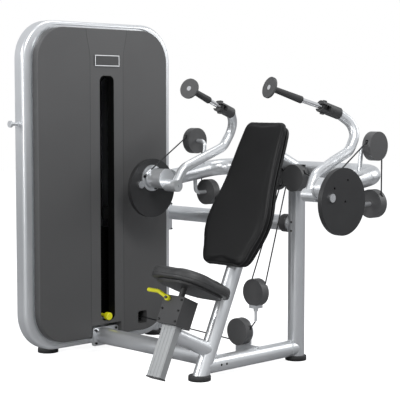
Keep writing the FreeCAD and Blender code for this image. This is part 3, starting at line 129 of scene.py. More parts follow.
SLEEVE_REACH = 0.036
SLEEVE_LIFT = 0.0006
SLEEVE_SLACK = 0.02
EYE_REACH = 0.022
EYE_LIFT = 0.0003

# Shares of a grip's length, with the radii there before its taper.
GRIP_BORE = 0.0105
GRIP_START = ((0.0, GRIP_BORE), (0.0, 0.0135), (0.012, 0.0157))
GRIP_END = ((0.965, 0.0158), (0.99, 0.0150), (1.0, GRIP_BORE))
GRIP_TAPER = 0.24
RIBS_START = 0.03
RIBS_SPAN = 0.92
RIB_SHARE = 0.7
RIB_EASE = 0.008
RIB_FOOT = 0.0154
RIB_TOP = 0.016

# Each taut cable's piece and node, the body that pulls it, its end on the frame and
# its end on that body.
BLACK_CABLES = (
    ("taut_strands", "cable_strands", "moving_pulley",
     (-0.531, 0.0, 0.833), (-0.343, 0.0, 0.337)),
    ("taut_riser", "cable_riser", "moving_pulley",
     (-0.315, -0.025, 0.158), (-0.343, 0.0, 0.209)),
)
STACK_CABLE = ("taut_drop", "cable_stack_drop", "weight_stack",
               (-0.086, -0.854, 1.315), (-0.086, -0.854, 0.609))

PAD_VOXEL = 0.005
PAD_SHRINK = 0.0015
PAD_EASE_ROUNDS = 4
PAD_HELD = 0.006
PAD_PRESSURE = 4.0
PAD_FRAMES = 20
PAD_EVEN_ROUNDS = 24

SEAM_POINTS = 260
SEAM_SIDES = 8
SEAM_SUNK = 0.0002
SEAM_RADIUS = 0.0013
STITCH_RISE = 0.00025
STITCH_POINTS = 4
BACK_SEAMS = (("back_seam_rear", 0.010), ("back_seam_front", 0.027))
SEAT_SEAM = 0.016

FOOT_BOTTOM = 0.001
FOOT_HEIGHT = 0.021
FOOT_BORE = 0.024

CAMERA_FORWARD = (-0.6934, -0.7164, -0.0773)
CAMERA_RIGHT = (-0.7185, 0.6955, 0.0)
CAMERA_PLACE = (3.5584, 3.6789, 1.1569)
CAMERA_LENS = 111.04
CAMERA_SENSOR = 36.0
CAMERA_FAR = 100.0

# Place, width across and watts of each lamp. All point at one place on the machine.
LAMPS = {
    "key": ((1.2, 2.6, 3.6), 1.5, 78.0),
    "fill": ((4.2, 1.6, 1.3), 1.2, 34.0),
    "side": ((3.4, -1.6, 2.2), 0.9, 34.0),
    "top": ((-0.8, -0.2, 3.8), 1.6, 20.0),
    "rear": ((-3.4, 1.6, 2.4), 2.0, 26.0),
}
LAMP_AIM = (-0.2, -0.1, 0.7)

# Colour and strength of the world for lighting, in gloss and as the camera sees it.
WORLD_LIGHT = ((0.93, 0.96, 1.0), 0.26)
WORLD_IN_GLOSS = ((0.95, 0.97, 1.0), 0.7)
WORLD_SEEN = ((1, 1, 1), 1.0)
FLOOR_HALF = 14.0
FLOOR_GLOW = 0.85
FLOOR_BOUNCE = (0.46, 0.46, 0.47)


class Signal:
    """A node socket that can be added, subtracted and multiplied like a number."""

    def __init__(self, graph, socket):
        self.graph = graph
        self.socket = socket

    def __add__(self, other):
        return self.graph.math("ADD", self, other)

    def __sub__(self, other):
        return self.graph.math("SUBTRACT", self, other)

    def __mul__(self, other):
        return self.graph.math("MULTIPLY", self, other)

    def __radd__(self, other):
        return self.graph.math("ADD", other, self)

    def __rsub__(self, other):
        return self.graph.math("SUBTRACT", other, self)

    def __rmul__(self, other):
        return self.graph.math("MULTIPLY", other, self)

    def __abs__(self):
        return self.graph.math("ABSOLUTE", self)

    def sine(self):
        return self.graph.math("SINE", self)

    def root(self):
        return self.graph.math("SQRT", self)

    def largest(self, other):
        return self.graph.math("MAXIMUM", self, other)

    def ramp(self, start, end):
        """0 up to start, 1 from end, with a smooth rise between them."""
        settings = {"interpolation_type": "SMOOTHSTEP"}
        values = {"Value": self, "From Min": start, "From Max": end}
        return self.graph.node("ShaderNodeMapRange", settings, values)["Result"]


def opaque(shade):
    """A colour with full alpha, for a socket. The signal of a socket stays as it is."""
    return shade if isinstance(shade, Signal) else (*shade, 1)


class Graph:
    """The node tree of a new material or world, with short ways to add to it."""

    def __init__(self, name, kind="materials"):
        self.owner = getattr(bpy.data, kind).new(name)
        self.owner.use_nodes = True
        self.tree = self.owner.node_tree
        self.surface = next(node for node in self.tree.nodes if node.outputs)
        self.output = next(node for node in self.tree.nodes if not node.outputs)

    def join(self, value, socket):
        if isinstance(value, Signal):
            self.tree.links.new(value.socket, socket)
        else:
            socket.default_value = value

    def node(self, kind, settings=None, values=None):
        """Adds a node and returns its outputs by name."""
        made = self.tree.nodes.new(kind)
        for key, setting in (settings or {}).items():
            setattr(made, key, setting)
        for key, value in (values or {}).items():
            self.join(value, made.inputs[key])
        return {output.identifier if kind == "ShaderNodeMix" else output.name:
                Signal(self, output) for output in made.outputs}

    def math(self, operation, first, second=0.0):
        return self.node("ShaderNodeMath", {"operation": operation},
                         {0: first, 1: second})["Value"]

    def place(self):
        """Where a point is in the piece's own resting frame, in metres."""
        return self.node("ShaderNodeTexCoord")["Object"]

    def split(self, vector):
        parts = self.node("ShaderNodeSeparateXYZ", None, {"Vector": vector})
        return parts["X"], parts["Y"], parts["Z"]

    def scaled(self, vector, scale):
        return self.node("ShaderNodeVectorMath", {"operation": "MULTIPLY"},
                         {0: vector, 1: scale})["Vector"]

    def along(self, vector, direction):
        """How far a vector reaches along a direction."""
        return self.node("ShaderNodeVectorMath", {"operation": "DOT_PRODUCT"},
                         {0: vector, 1: direction})["Value"]

    def noise(self, scale, detail=2.0, vector=None):
        values = {"Vector": vector or self.place(), "Scale": scale, "Detail": detail}
        return self.node("ShaderNodeTexNoise", None, values)["Fac"]

    def cells(self, scale):
        values = {"Vector": self.place(), "Scale": scale}
        return self.node("ShaderNodeTexVoronoi", None, values)["Distance"]

    def tint(self, factor, first, second):
        """The first colour where the factor is 0 and the second where it is 1."""
        values = {0: factor, 6: opaque(first), 7: opaque(second)}
        return self.node("ShaderNodeMix", {"data_type": "RGBA"},
                         values)["Result_Color"]

    def bump(self, height, depth):
        values = {"Height": height, "Distance": depth, "Strength": 1.0}
        return self.node("ShaderNodeBump", None, values)["Normal"]

    def edges(self, radius):
        """1 on sharp outer edges and 0 on flat places."""
        geometry = self.node("ShaderNodeNewGeometry")
        bevel = self.node("ShaderNodeBevel", None, {"Radius": radius})
        match = self.along(bevel["Normal"], geometry["Normal"])
        return (1.0 - match).ramp(0.02, 0.25)

    def finish(self, **values):
        """Sets the surface's sockets. An underscore stands for a space."""
        for key, value in values.items():
            self.join(value, self.surface.inputs[key.replace("_", " ")])
        return self.owner

    def shader(self):
        """What the surface gives."""
        return Signal(self, self.surface.outputs[0])

    def seen_by(self, ray, plain, other):
        """The other shader for one kind of ray, and the plain one for the rest."""
        path = self.node("ShaderNodeLightPath")
        values = {0: path[ray], 1: plain, 2: other}
        return self.node("ShaderNodeMixShader", None, values)["Shader"]

    def show(self, shader):
        self.join(shader, self.output.inputs["Surface"])


def paint(name, color, second, rough, metal, grain, depth, coat=0.0, shine=0.5,
          painted_shade=None):
    """A sprayed or moulded finish with fine grain, soft mottling and rubbed edges, and,
    where a mask is given, painted shade in near-black.
    """
    graph = Graph(name)
    mottle = graph.noise(9.0, 4.0)
    speck = graph.noise(grain, 2.0)
    rub = graph.edges(0.0015) * (0.4 + 0.6 * graph.noise(60.0, 3.0))
    shade = (0.6 * mottle + 0.4 * speck).ramp(0.3, 0.7)
    base = graph.tint(shade, color, second)
    rubbed = [min(1.0, value * 1.5 + 0.02) for value in second]
    worn = graph.tint(0.5 * rub, base, rubbed)
    # Painted shade: where the mask is 1 the paint turns near-black and loses its metal
    # and coat.
    if painted_shade is not None:
        black = painted_shade(graph)
        worn = graph.tint(black, worn, (0.002, 0.002, 0.002))
        metal = metal * (1.0 - black)
        coat = coat * (1.0 - black)
    return graph.finish(
        Base_Color=worn,
        Roughness=(rough - 0.05) + 0.1 * mottle,
        Metallic=metal,
        Specular_IOR_Level=shine,
        Coat_Weight=coat,
        Coat_Roughness=0.18,
        Normal=graph.bump(speck, depth),
    )


def silver_paint(looks, name="silver_paint", painted_shade=None):
    return paint(name, looks.silver, looks.silver_shade, rough=0.30, metal=0.66,
                 grain=1400.0, depth=0.00004, coat=0.25, painted_shade=painted_shade)


def outrigger_paint(looks):
    """Silver paint that is painted near-black, as shade, where the tie runs inside the
    tower.
    """
    def inside(graph):
        across, _, height = graph.split(graph.place())
        return across.ramp(*TIE_ACROSS) * height.ramp(*TIE_HEIGHT)

    return silver_paint(looks, "outrigger_paint", inside)


def dark_steel(looks):
    return paint("dark_steel", looks.steel, looks.steel_shade, rough=0.48, metal=0.1,
                 grain=900.0, depth=0.00005)


def dark_plastic(looks):
    return paint("dark_plastic", looks.plastic, looks.plastic_shade, rough=0.5,
                 metal=0.0, grain=1100.0, depth=0.00006)


def cover_plastic(looks):
    return paint("cover_plastic", looks.cover, looks.cover_shade, rough=0.46,
                 metal=0.0, grain=1000.0, depth=0.00006)


def rubber_black(looks):
    return paint("rubber_black", looks.rubber, looks.rubber_shade, rough=0.62,
                 metal=0.0, grain=700.0, depth=0.00008)


def yellow_control(looks):
    return paint("yellow_control", looks.yellow, looks.yellow_shade, rough=0.34,
                 metal=0.0, grain=500.0, depth=0.00003, coat=0.3)


def stack_black_and_shade(_):
    """Near-black, dull finish of the weight stack, darker than its own black as painted
    shade so that it stays dark behind its slot; also the painted shade inside the bored
    holes.
    """
    return paint("stack_black_and_shade", (0.003, 0.003, 0.003), (0.002, 0.002, 0.002),
                 rough=0.75, metal=0.0, grain=800.0, depth=0.00005, shine=0.05)


def black_screw(_):
    return paint("black_screw", (0.012, 0.012, 0.012), (0.02, 0.02, 0.02), rough=0.4,
                 metal=0.5, grain=900.0, depth=0.00004)


def charcoal_panel(looks):
    """Satin moulded sheet with a raised band between two creases and a slot, with
    painted light and shade: darker towards the bottom, near-black in the creases and
    inside the slot, and lighter on the raised band.
    """
    graph = Graph("charcoal_panel")
    across, aside, height = graph.split(graph.place())
    off_middle = abs(across - PANEL_MIDDLE)
    band = off_middle - BAND_FLARE * height.ramp(*BAND_FLARE_HEIGHT)
    crease = 1.0 - abs(band - BAND_HALF).ramp(*CREASE_EDGE)
    raised = 1.0 - band.ramp(*BAND_EDGE)
    grain = graph.noise(1500.0, 2.0)
    mottle = graph.noise(4.0, 3.0)
    # Painted shade: the panel is painted darker towards the bottom, where less light
    # falls.
    plain = graph.tint(height.ramp(*PANEL_SHADING), looks.panel_bottom_shade, looks.panel)
    worn = graph.tint(0.25 * mottle.ramp(0.35, 0.75), plain, looks.panel_shade)
    # Painted highlight: the raised band is painted lighter, as if it caught more light.
    lit = graph.tint(0.08 * raised, worn, (0.2, 0.2, 0.2))
    # Painted shade: the creases are painted near-black.
    crease_shaded = graph.tint(0.5 * crease, lit, (0.015, 0.015, 0.016))
    # Painted shade: the slot's inner walls, behind the panel's face, are painted
    # near-black.
    slot = 1.0 - off_middle.ramp(*SLOT_SIDE)
    slot = slot * height.ramp(*SLOT_BOTTOM) * (1.0 - height.ramp(*SLOT_TOP))
    slot = slot * (1.0 - aside.ramp(*SLOT_BACK))
    return graph.finish(
        Base_Color=graph.tint(slot, crease_shaded, (0.001, 0.001, 0.001)),
        Roughness=0.42 + 0.1 * mottle,
        Normal=graph.bump(grain * 0.05 + raised * 0.6 - crease * 0.5, 0.0008),
    )


def blank_label(looks):
    """A blank plate, dark inside a thin bright border."""
    graph = Graph("blank_label")
    across, _, height = graph.split(graph.place())
    beyond_side = abs(across - PLATE_MIDDLE[0]) - PLATE_HALF[0]
    beyond_end = abs(height - PLATE_MIDDLE[1]) - PLATE_HALF[1]
    inset = beyond_side.largest(beyond_end)
    border = inset.ramp(*PLATE_BORDER_IN) * (1.0 - inset.ramp(*PLATE_BORDER_OUT))
    grain = graph.noise(900.0, 2.0)
    return graph.finish(
        Base_Color=graph.tint(border, looks.plate, (0.86, 0.87, 0.88)),
        Roughness=0.3 + 0.12 * grain,
        Metallic=0.5 * border,
        Normal=graph.bump(border + 0.1 * grain, 0.0003),
    )


def brushed(name, color, rough, depth):
    """Bare metal with fine lines drawn up it."""
    graph = Graph(name)
    lines = graph.noise(1.0, 3.0, graph.scaled(graph.place(), (2200.0, 2200.0, 40.0)))
    cloud = graph.noise(22.0, 3.0)
    darker = [value * 0.82 for value in color]
    return graph.finish(
        Base_Color=graph.tint(lines.ramp(0.3, 0.7), darker, color),
        Roughness=(rough - 0.04) + 0.08 * cloud,
        Metallic=1.0,
        Normal=graph.bump(lines, depth),
    )


def bright_trim(_):
    return brushed("bright_trim", (0.82, 0.83, 0.84), rough=0.25, depth=0.00003)


def chrome_steel(_):
    return brushed("chrome_steel", (0.90, 0.90, 0.91), rough=0.10, depth=0.00001)


def alloy_post(looks):
    """Anodised post with drawn grooves along its length, painted darker in the grooves
    as shade.
    """
    graph = Graph("alloy_post")
    place = graph.place()
    aside = graph.split(place)[1]
    run = graph.along(place, tuple(BACK_SLOPE))
    groove = (aside * 330.0).sine().ramp(-0.97, -0.75)
    line = graph.node("ShaderNodeCombineXYZ", None,
                      {"X": aside * 2600.0, "Y": run * 20.0})
    drawn = graph.noise(1.0, 2.0, line["Vector"])
    # Painted shade: the groove bottoms take the darker groove colour.
    return graph.finish(
        Base_Color=graph.tint(0.65 * groove + 0.35 * drawn, looks.post_groove_shade,
                              looks.post),
        Roughness=0.34 + 0.1 * drawn,
        Metallic=0.75,
        Normal=graph.bump(groove + 0.05 * drawn, 0.0006),
    )


def cable_black(_):
    """Coated wire rope whose strands show as a fine twist."""
    graph = Graph("cable_black")
    across, aside, height = graph.split(graph.place())
    twist = ((across + aside) * 900.0 + height * 700.0).sine()
    dust = graph.noise(300.0, 2.0)
    return graph.finish(
        Base_Color=graph.tint(twist.ramp(-0.6, 1.0), (0.006, 0.006, 0.007),
                              (0.03, 0.03, 0.032)),
        Roughness=0.38 + 0.15 * dust,
        Normal=graph.bump(twist, 0.0002),
    )


def vinyl(name, color, second, rough, shine):
    """Upholstery vinyl with pebbled leather grain and faint handling sheen."""
    graph = Graph(name)
    wobble = graph.noise(260.0, 2.0)
    pebble = graph.cells(780.0)
    fine = graph.noise(2400.0, 2.0)
    cloud = graph.noise(7.0, 4.0)
    grain = pebble.ramp(0.05, 0.55) * 0.7 + wobble * 0.4 + fine * 0.15
    return graph.finish(
        Base_Color=graph.tint((cloud * 0.6 + pebble * 0.4).ramp(0.25, 0.7), color,
                              second),
        Roughness=rough + 0.12 * cloud - 0.06 * pebble,
        Specular_IOR_Level=shine,
        Coat_Weight=0.1 * shine,
        Coat_Roughness=0.35,
        Normal=graph.bump(grain, 0.00022),
    )


def back_vinyl(looks):
    return vinyl("back_vinyl", looks.back, looks.back_shade, looks.vinyl_rough, 0.22)


# Painted sheen: the seat's vinyl is the back pad's black vinyl painted lighter, and the
# board under it gets the same.
def seat_vinyl_painted_sheen(looks):
    return vinyl("seat_vinyl_painted_sheen", looks.seat, looks.seat_shade, looks.vinyl_rough, 0.45)


def seam_thread(_):
    """Twisted black thread and piping along the pads' seams."""
    graph = Graph("seam_thread")
    twist = (graph.along(graph.place(), (1.0, 0.7, 0.4)) * 5200.0).sine()
    return graph.finish(
        Base_Color=graph.tint(twist.ramp(-1.0, 1.0), (0.012, 0.012, 0.013),
                              (0.05, 0.05, 0.052)),
        Roughness=0.62 + 0.1 * graph.noise(500.0),
        Normal=graph.bump(twist, 0.0002),
    )


def disc_fittings(_):
    """Black screw heads, and a bright stop pin where the disc is bored for it."""
    graph = Graph("disc_fittings")
    place = graph.place()
    across, _, height = graph.split(place)
    ahead = across - STOP_PIN[0]
    above = height - STOP_PIN[1]
    from_pin = (ahead * ahead + above * above).root()
    pin = 1.0 - from_pin.ramp(*STOP_PIN_EDGE)
    lines = graph.noise(1400.0, 2.0, place)
    return graph.finish(
        Base_Color=graph.tint(pin, (0.012, 0.012, 0.012), (0.93, 0.94, 0.95)),
        Roughness=0.2 + 0.12 * lines,
        Metallic=0.5 + 0.5 * pin,
        Normal=graph.bump(lines, 0.00003),
    )


MADE = {}


def finished(maker):
    """The material of a maker, made the first time that it is asked for."""
    if maker not in MADE:
        MADE[maker] = maker(bpy.context.scene.machine_looks)
    return MADE[maker]


def node_of(name):
    if name not in NODES:
        raise ValueError("the CAD part has no node named " + name)
    return NODES[name]


def dress(maker, *names):
    """Gives a finish to every slot of some CAD nodes."""
    material = finished(maker)
    for name in names:
        target = node_of(name)
        if not target.material_slots:
            target.data.materials.append(None)
        for place in target.material_slots:
            place.link = "OBJECT"
            place.material = material


def placed(name, mesh):
    """A new object in the scene."""
    made = bpy.data.objects.new(name, mesh)
    bpy.context.scene.collection.objects.link(made)
    return made


def covered(mesh, maker):
    """Leaves a mesh with one finish and no other."""
    mesh.materials.clear()
    mesh.materials.append(finished(maker))


def piece(name, mesh, maker, body, smooth=True):
    """Makes an object from a mesh and lets it move with a CAD body."""
    made = placed(name, mesh)
    covered(mesh, maker)
    for face in mesh.polygons:
        face.use_smooth = smooth
    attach(made, body)
    return made


def mesh_from(name, places, faces):
    mesh = bpy.data.meshes.new(name)
    mesh.from_pydata([tuple(place) for place in places], [], faces)
    mesh.validate()
    shape = bmesh.new()
    shape.from_mesh(mesh)
    bmesh.ops.recalc_face_normals(shape, faces=shape.faces)
    shape.to_mesh(mesh)
    shape.free()
    return mesh


def sides_of(axis):
    """Two directions square to an axis and to each other."""
    other = Z_AXIS if abs(axis.z) < 0.8 else X_AXIS
    first = axis.cross(other).normalized()
    return first, axis.cross(first).normalized()


def spokes(axis, count):
    """Directions square to an axis, all round it."""
    first, second = sides_of(axis)
    turns = [math.tau * step / count for step in range(count)]
    return [first * math.cos(turn) + second * math.sin(turn) for turn in turns]


def quads(rows, count, closed):
    """Faces between rings of points, joined round and, if closed, last to first."""
    faces = []
    for row in range(rows if closed else rows - 1):
        low = row * count
        high = (row + 1) % rows * count
        for step in range(count):
            after = (step + 1) % count
            faces.append((low + step, low + after, high + after, high + step))
    return faces


def lathe(profile, start, end, steps=64):
    """Places and faces of a turned shape, from rows of share of length and radius."""
    line = end - start
    round_it = spokes(line.normalized(), steps)
    places = [start + line * share + spoke * radius
              for share, radius in profile for spoke in round_it]
    return places, quads(len(profile), steps, closed=False)


def loop_tube(points, radii, sides=10):
    """Places and faces of a closed tube through a ring of points."""
    count = len(points)
    places = []
    for step, (point, radius) in enumerate(zip(points, radii)):
        ahead = points[(step + 1) % count] - points[step - 1]
        places.extend(point + spoke * radius
                      for spoke in spokes(ahead.normalized(), sides))
    return places, quads(count, sides, closed=True)


def merged(parts):
    """Joins several lists of places and faces into one."""
    places = []
    faces = []
    for more_places, more_faces in parts:
        start = len(places)
        places.extend(more_places)
        faces.extend(tuple(start + index for index in face) for face in more_faces)
    return places, faces


def weld_bead(center, axis, radius, partner):
    """A rippled bead round a tube's end, dipping where its partner tube is round."""
    center = Vector(center)
    aside = sides_of(axis)[0]
    points = []
    radii = []
    for step, spoke in enumerate(spokes(axis, BEAD_POINTS)):
        place = center + spoke * radius
        if partner:
            across = abs(aside.dot(spoke)) * radius
            place -= axis * (partner - math.sqrt(partner ** 2 - across ** 2))
        ripple = math.sin(step * math.tau / BEAD_RIPPLE_POINTS)
        points.append(place)
        radii.append(BEAD_RADIUS * (1.0 + BEAD_RIPPLE * ripple))
    return loop_tube(points, radii)


def shape_of(node):
    """A CAD node's mesh for editing, its doubled points merged."""
    shape = bmesh.new()
    shape.from_mesh(node_of(node).data)
    bmesh.ops.remove_doubles(shape, verts=shape.verts, dist=SAME_POINT)
    return shape


def skin_of(name, node, inside, lift):
    """A thin sleeve over those faces of a CAD node whose middle passes a test."""
    shape = shape_of(node)
    outside = [face for face in shape.faces if not inside(face.calc_center_median())]
    bmesh.ops.delete(shape, geom=outside, context="FACES")
    if not shape.faces:
        raise ValueError("no faces of " + node + " are in reach of " + name)
    bmesh.ops.recalc_face_normals(shape, faces=shape.faces)
    shape.normal_update()
    for vertex in shape.verts:
        vertex.co += vertex.normal * lift
    mesh = bpy.data.meshes.new(name)
    shape.to_mesh(mesh)
    shape.free()
    return mesh


def spanning(name, node, body, start, end, maker):
    """A cable copied from its solid, which it takes the place of."""
    made = placed(name, node_of(node).data.copy())
    covered(made.data, maker)
    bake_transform(made)
    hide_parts(node)


def islands_of(node):
    """Middle and half width of each loose part of a CAD node, seen from above."""
    shape = shape_of(node)
    left = set(shape.verts)
    found = []
    while left:
        edge = [left.pop()]
        island = []
        while edge:
            vertex = edge.pop()
            island.append(vertex.co.copy())
            for line in vertex.link_edges:
                other = line.other_vert(vertex)
                if other in left:
                    left.remove(other)
                    edge.append(other)
        high = [max(place[axis] for place in island) for axis in range(2)]
        low = [min(place[axis] for place in island) for axis in range(2)]
        center = Vector(((high[0] + low[0]) / 2, (high[1] + low[1]) / 2, 0))
        found.append((center, (high[1] - low[1]) / 2))
    shape.free()
    return sorted(found, key=lambda item: tuple(item[0]))


def metres(point):
    return Vector(point) * MM


def mirrored(point, side):
    """A point on the left side, or its twin on the right where side is -1."""
    return Vector((point[0], point[1] * side, point[2]))


def near_line(place, start, end):
    """True when a place is within reach of the line of a fork's sleeve."""
    line = end - start
    share = (place - start).dot(line) / line.length_squared
    inside = -SLEEVE_SLACK < share < 1.0 + SLEEVE_SLACK
    return inside and (place - start - line * share).length < SLEEVE_REACH


def grip_profile(ribs):
    """Shares of a ribbed grip's length and its radii there, tapered to its end."""
    profile = list(GRIP_START)
    for rib in range(ribs):
        low = RIBS_START + RIBS_SPAN * rib / ribs
        high = RIBS_START + RIBS_SPAN * (rib + RIB_SHARE) / ribs
        profile.extend([(low, RIB_FOOT), (low + RIB_EASE, RIB_TOP),
                        (high - RIB_EASE, RIB_TOP), (high, RIB_FOOT)])
    profile.extend(GRIP_END)
    return [(share, max(GRIP_BORE, radius * (1.0 - GRIP_TAPER * share)))
            for share, radius in profile]


def evened(mesh, pushes):
    """Evens out how far neighbouring points move, so that no wrinkle is left."""
    near = [[] for _ in pushes]
    for edge in mesh.edges:
        first, second = edge.vertices
        near[first].append(second)
        near[second].append(first)
    for _ in range(PAD_EVEN_ROUNDS):
        pushes = [(push + sum((pushes[other] for other in others), Vector()))
                  / (len(others) + 1) for push, others in zip(pushes, near)]
    return pushes


def swell(made, axis, base, cap):
    """Lets a closed skin swell under pressure, its base held, by at most a cap."""
    scene = bpy.context.scene
    vertices = made.data.vertices
    group = made.vertex_groups.new(name="held")
    group.add([vertex.index for vertex in vertices
               if vertex.co.dot(axis) < base + PAD_HELD], 1.0, "REPLACE")
    cloth = made.modifiers.new("swell", "CLOTH")
    settings = cloth.settings
    settings.quality = 5
    settings.mass = 0.3
    settings.tension_stiffness = 18
    settings.compression_stiffness = 18
    settings.shear_stiffness = 8
    settings.bending_stiffness = 1.5
    settings.use_pressure = True
    settings.uniform_pressure_force = PAD_PRESSURE
    settings.effector_weights.gravity = 0
    settings.vertex_group_mass = "held"
    cloth.point_cache.frame_start = 1
    cloth.point_cache.frame_end = PAD_FRAMES
    for frame in range(1, PAD_FRAMES + 1):
        scene.frame_set(frame)
    graph = bpy.context.evaluated_depsgraph_get()
    swollen = made.evaluated_get(graph).to_mesh()
    pushes = [after.co - vertex.co for vertex, after
              in zip(vertices, swollen.vertices)]
    made.evaluated_get(graph).to_mesh_clear()
    made.modifiers.remove(cloth)
    scene.frame_set(1)
    for vertex, push in zip(vertices, evened(made.data, pushes)):
        if push.length > cap:
            push = push.normalized() * cap
        vertex.co = vertex.co + push


def applied(made):
    """Puts what an object's modifiers make in place of its mesh."""
    graph = bpy.context.evaluated_depsgraph_get()
    fresh = bpy.data.meshes.new_from_object(made.evaluated_get(graph))
    made.modifiers.clear()
    made.data = fresh


def remeshed(name, source):
    """A voxel copy of a CAD cushion, drawn in slightly from its own skin."""
    made = placed(name, source.data.copy())
    remesh = made.modifiers.new("remesh", "REMESH")
    remesh.mode = "VOXEL"
    remesh.voxel_size = PAD_VOXEL
    ease = made.modifiers.new("ease", "SMOOTH")
    ease.factor = 0.5
    ease.iterations = PAD_EASE_ROUNDS
    applied(made)
    normals = [vertex.normal.copy() for vertex in made.data.vertices]
    for vertex, normal in zip(made.data.vertices, normals):
        vertex.co -= normal * PAD_SHRINK
    return made


def base_of(node, axis):
    """How far along an axis a CAD node starts."""
    return min(vertex.co.dot(axis) for vertex in node_of(node).data.vertices)


def base_center(node, axis):
    """The middle of a CAD node's box, moved along an axis to where the node starts."""
    low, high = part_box(node)
    center = (Vector(low) + Vector(high)) / 2
    return center - axis * (center.dot(axis) - base_of(node, axis))


def cushion(name, node, body, maker, axis, cap):
    """A stuffed pad that takes a CAD solid's place, swollen by a cloth run."""
    made = remeshed(name, node_of(node))
    swell(made, axis, base_of(node, axis), cap)
    finer = made.modifiers.new("finer", "SUBSURF")
    finer.levels = 1
    applied(made)
    covered(made.data, maker)
    for face in made.data.polygons:
        face.use_smooth = True
    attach(made, body)
    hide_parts(node)
    return made


def surface_of(made):
    return BVHTree.FromPolygons([vertex.co for vertex in made.data.vertices],
                                [tuple(face.vertices) for face in made.data.polygons])


def stitched(name, surface, body, center, up):
    """A piped seam round a cushion, level with a centre and rippled by stitches."""
    ring = []
    for step in range(SEAM_POINTS):
        turn = math.tau * step / SEAM_POINTS
        spoke = (up * math.cos(turn) + Y_AXIS * math.sin(turn)).normalized()
        place = surface.ray_cast(center + spoke, -spoke)[0]
        if place is None:
            raise ValueError("a spoke of " + name + " misses its cushion")
        ring.append(place)
    middle = sum(ring, Vector()) / SEAM_POINTS
    points = []
    radii = []
    for step, place in enumerate(ring):
        eased = (ring[step - 1] + place * 2 + ring[(step + 1) % SEAM_POINTS]) / 4
        points.append(eased + (middle - eased).normalized() * SEAM_SUNK)
        stitch = math.sin(step * math.tau / STITCH_POINTS)
        radii.append(SEAM_RADIUS + STITCH_RISE * stitch)
    places, faces = loop_tube(points, radii, SEAM_SIDES)
    piece(name, mesh_from(name, places, faces), seam_thread, body)


def colour(title, description, value):
    return FloatVectorProperty(name=title, description=description, default=value,
                               size=3, min=0, max=1, subtype="COLOR")


class MachineLooks(PropertyGroup):
    """Colours and finishes of the machine."""

    silver: colour("Silver", "Paint of the frame and the lever arms",
                   (0.78, 0.795, 0.81))
    silver_shade: colour("Silver shade", "Darker mottling in the silver paint",
                         (0.72, 0.735, 0.75))
    # The panel's top and bottom colours paint its shade, which darkens towards the
    # bottom.
    panel: colour("Panel top", "Upper end of the tower's front panel",
                  (0.104, 0.104, 0.105))
    panel_bottom_shade: colour("Panel bottom", "Lower end of the tower's front panel",
                      (0.090, 0.090, 0.090))
    panel_shade: colour("Panel mottle", "Darker mottling in the front panel",
                        (0.080, 0.080, 0.081))
    plate: colour("Blank plate", "Field of the blank plate on the tower",
                  (0.070, 0.070, 0.071))
    steel: colour("Dark steel", "Side discs and the centre bracket",
                  (0.030, 0.030, 0.031))
    steel_shade: colour("Dark steel shade", "Darker mottling in the dark steel",
                        (0.022, 0.022, 0.023))
    plastic: colour("Plastic", "Seat housing, caps, collar and fork sleeves",
                    (0.060, 0.060, 0.061))
    plastic_shade: colour("Plastic shade", "Darker mottling in the plastic",
                          (0.048, 0.048, 0.049))
    cover: colour("Pulley covers", "Pulley covers and hand stops",
                  (0.098, 0.098, 0.099))
    cover_shade: colour("Pulley cover shade", "Darker mottling in the covers",
                        (0.080, 0.080, 0.081))
    rubber: colour("Rubber", "Grips and feet", (0.050, 0.050, 0.051))
    rubber_shade: colour("Rubber shade", "Darker mottling in the rubber",
                         (0.036, 0.036, 0.037))
    yellow: colour("Yellow", "Selector knob and seat latch", (0.95, 0.92, 0.015))
    yellow_shade: colour("Yellow shade", "Darker mottling in the yellow",
                         (0.86, 0.83, 0.012))
    # The post's groove colour is darker as painted shade in the grooves.
    post: colour("Post", "Ridges of the drawn seat post", (0.47, 0.48, 0.48))
    post_groove_shade: colour("Post groove", "Grooves of the drawn seat post",
                       (0.27, 0.275, 0.28))
    back: colour("Back vinyl", "Cover of the back pad", (0.0045, 0.0045, 0.0047))
    back_shade: colour("Back vinyl shade", "Grain of the back pad's cover",
                       (0.0075, 0.0075, 0.0078))
    # The seat's vinyl colours are lighter than the back's, as painted sheen on the same
    # black vinyl.
    seat: colour("Seat vinyl", "Cover of the seat pad", (0.034, 0.034, 0.0345))
    seat_shade: colour("Seat vinyl shade", "Grain of the seat pad's cover",
                       (0.050, 0.050, 0.0505))
    vinyl_rough: FloatProperty(name="Vinyl roughness", default=0.42, min=0.1, max=0.9,
                               description="How dull the pads' vinyl is",
                               subtype="FACTOR")
    cap: FloatProperty(name="Pad swell limit", default=0.006, min=0.0, max=0.03,
                       description="How far a point of a pad may move as it swells",
                       unit="LENGTH")
    ribs: IntProperty(name="Grip ribs", default=16, min=4, max=40,
                      description="How many ribs each grip has")


class MACHINE_OT_frame(Operator):
    """Silver paint on the welded frame, with its weld beads"""

    bl_idname = "machine.frame"
    bl_label = "Frame"

    def execute(self, context):
        dress(silver_paint, "column", "rear_upright", "rear_beam", "tower_beam",
              "crossbar", "yoke", "seat_beam", "hub_housings")
        dress(outrigger_paint, "outrigger")
        dress(dark_plastic, "crossbar_collar")
        dress(black_screw, "flange_bolts")
        # Near-black discs sunk in the bored holes, as painted shade inside them.
        profile = ((0.0, 0.0), (0.0, SHADE_DISC_RADIUS), (1.0, SHADE_DISC_RADIUS), (1.0, 0.0))
        shade_discs = []
        for place, axis in BORED_HOLES:
            start = metres(place) - axis * SHADE_DISC_SUNK
            shade_discs.append(lathe(profile, start, start + axis * SHADE_DISC_DEEP, SHADE_DISC_STEPS))
        piece("hole_shade_discs", mesh_from("hole_shade_discs", *merged(shade_discs)), stack_black_and_shade,
              "frame", smooth=False)
        beads = merged([weld_bead(*bead) for bead in BEADS])
        piece("weld_beads", mesh_from("weld_beads", *beads), silver_paint, "frame")
        return {"FINISHED"}


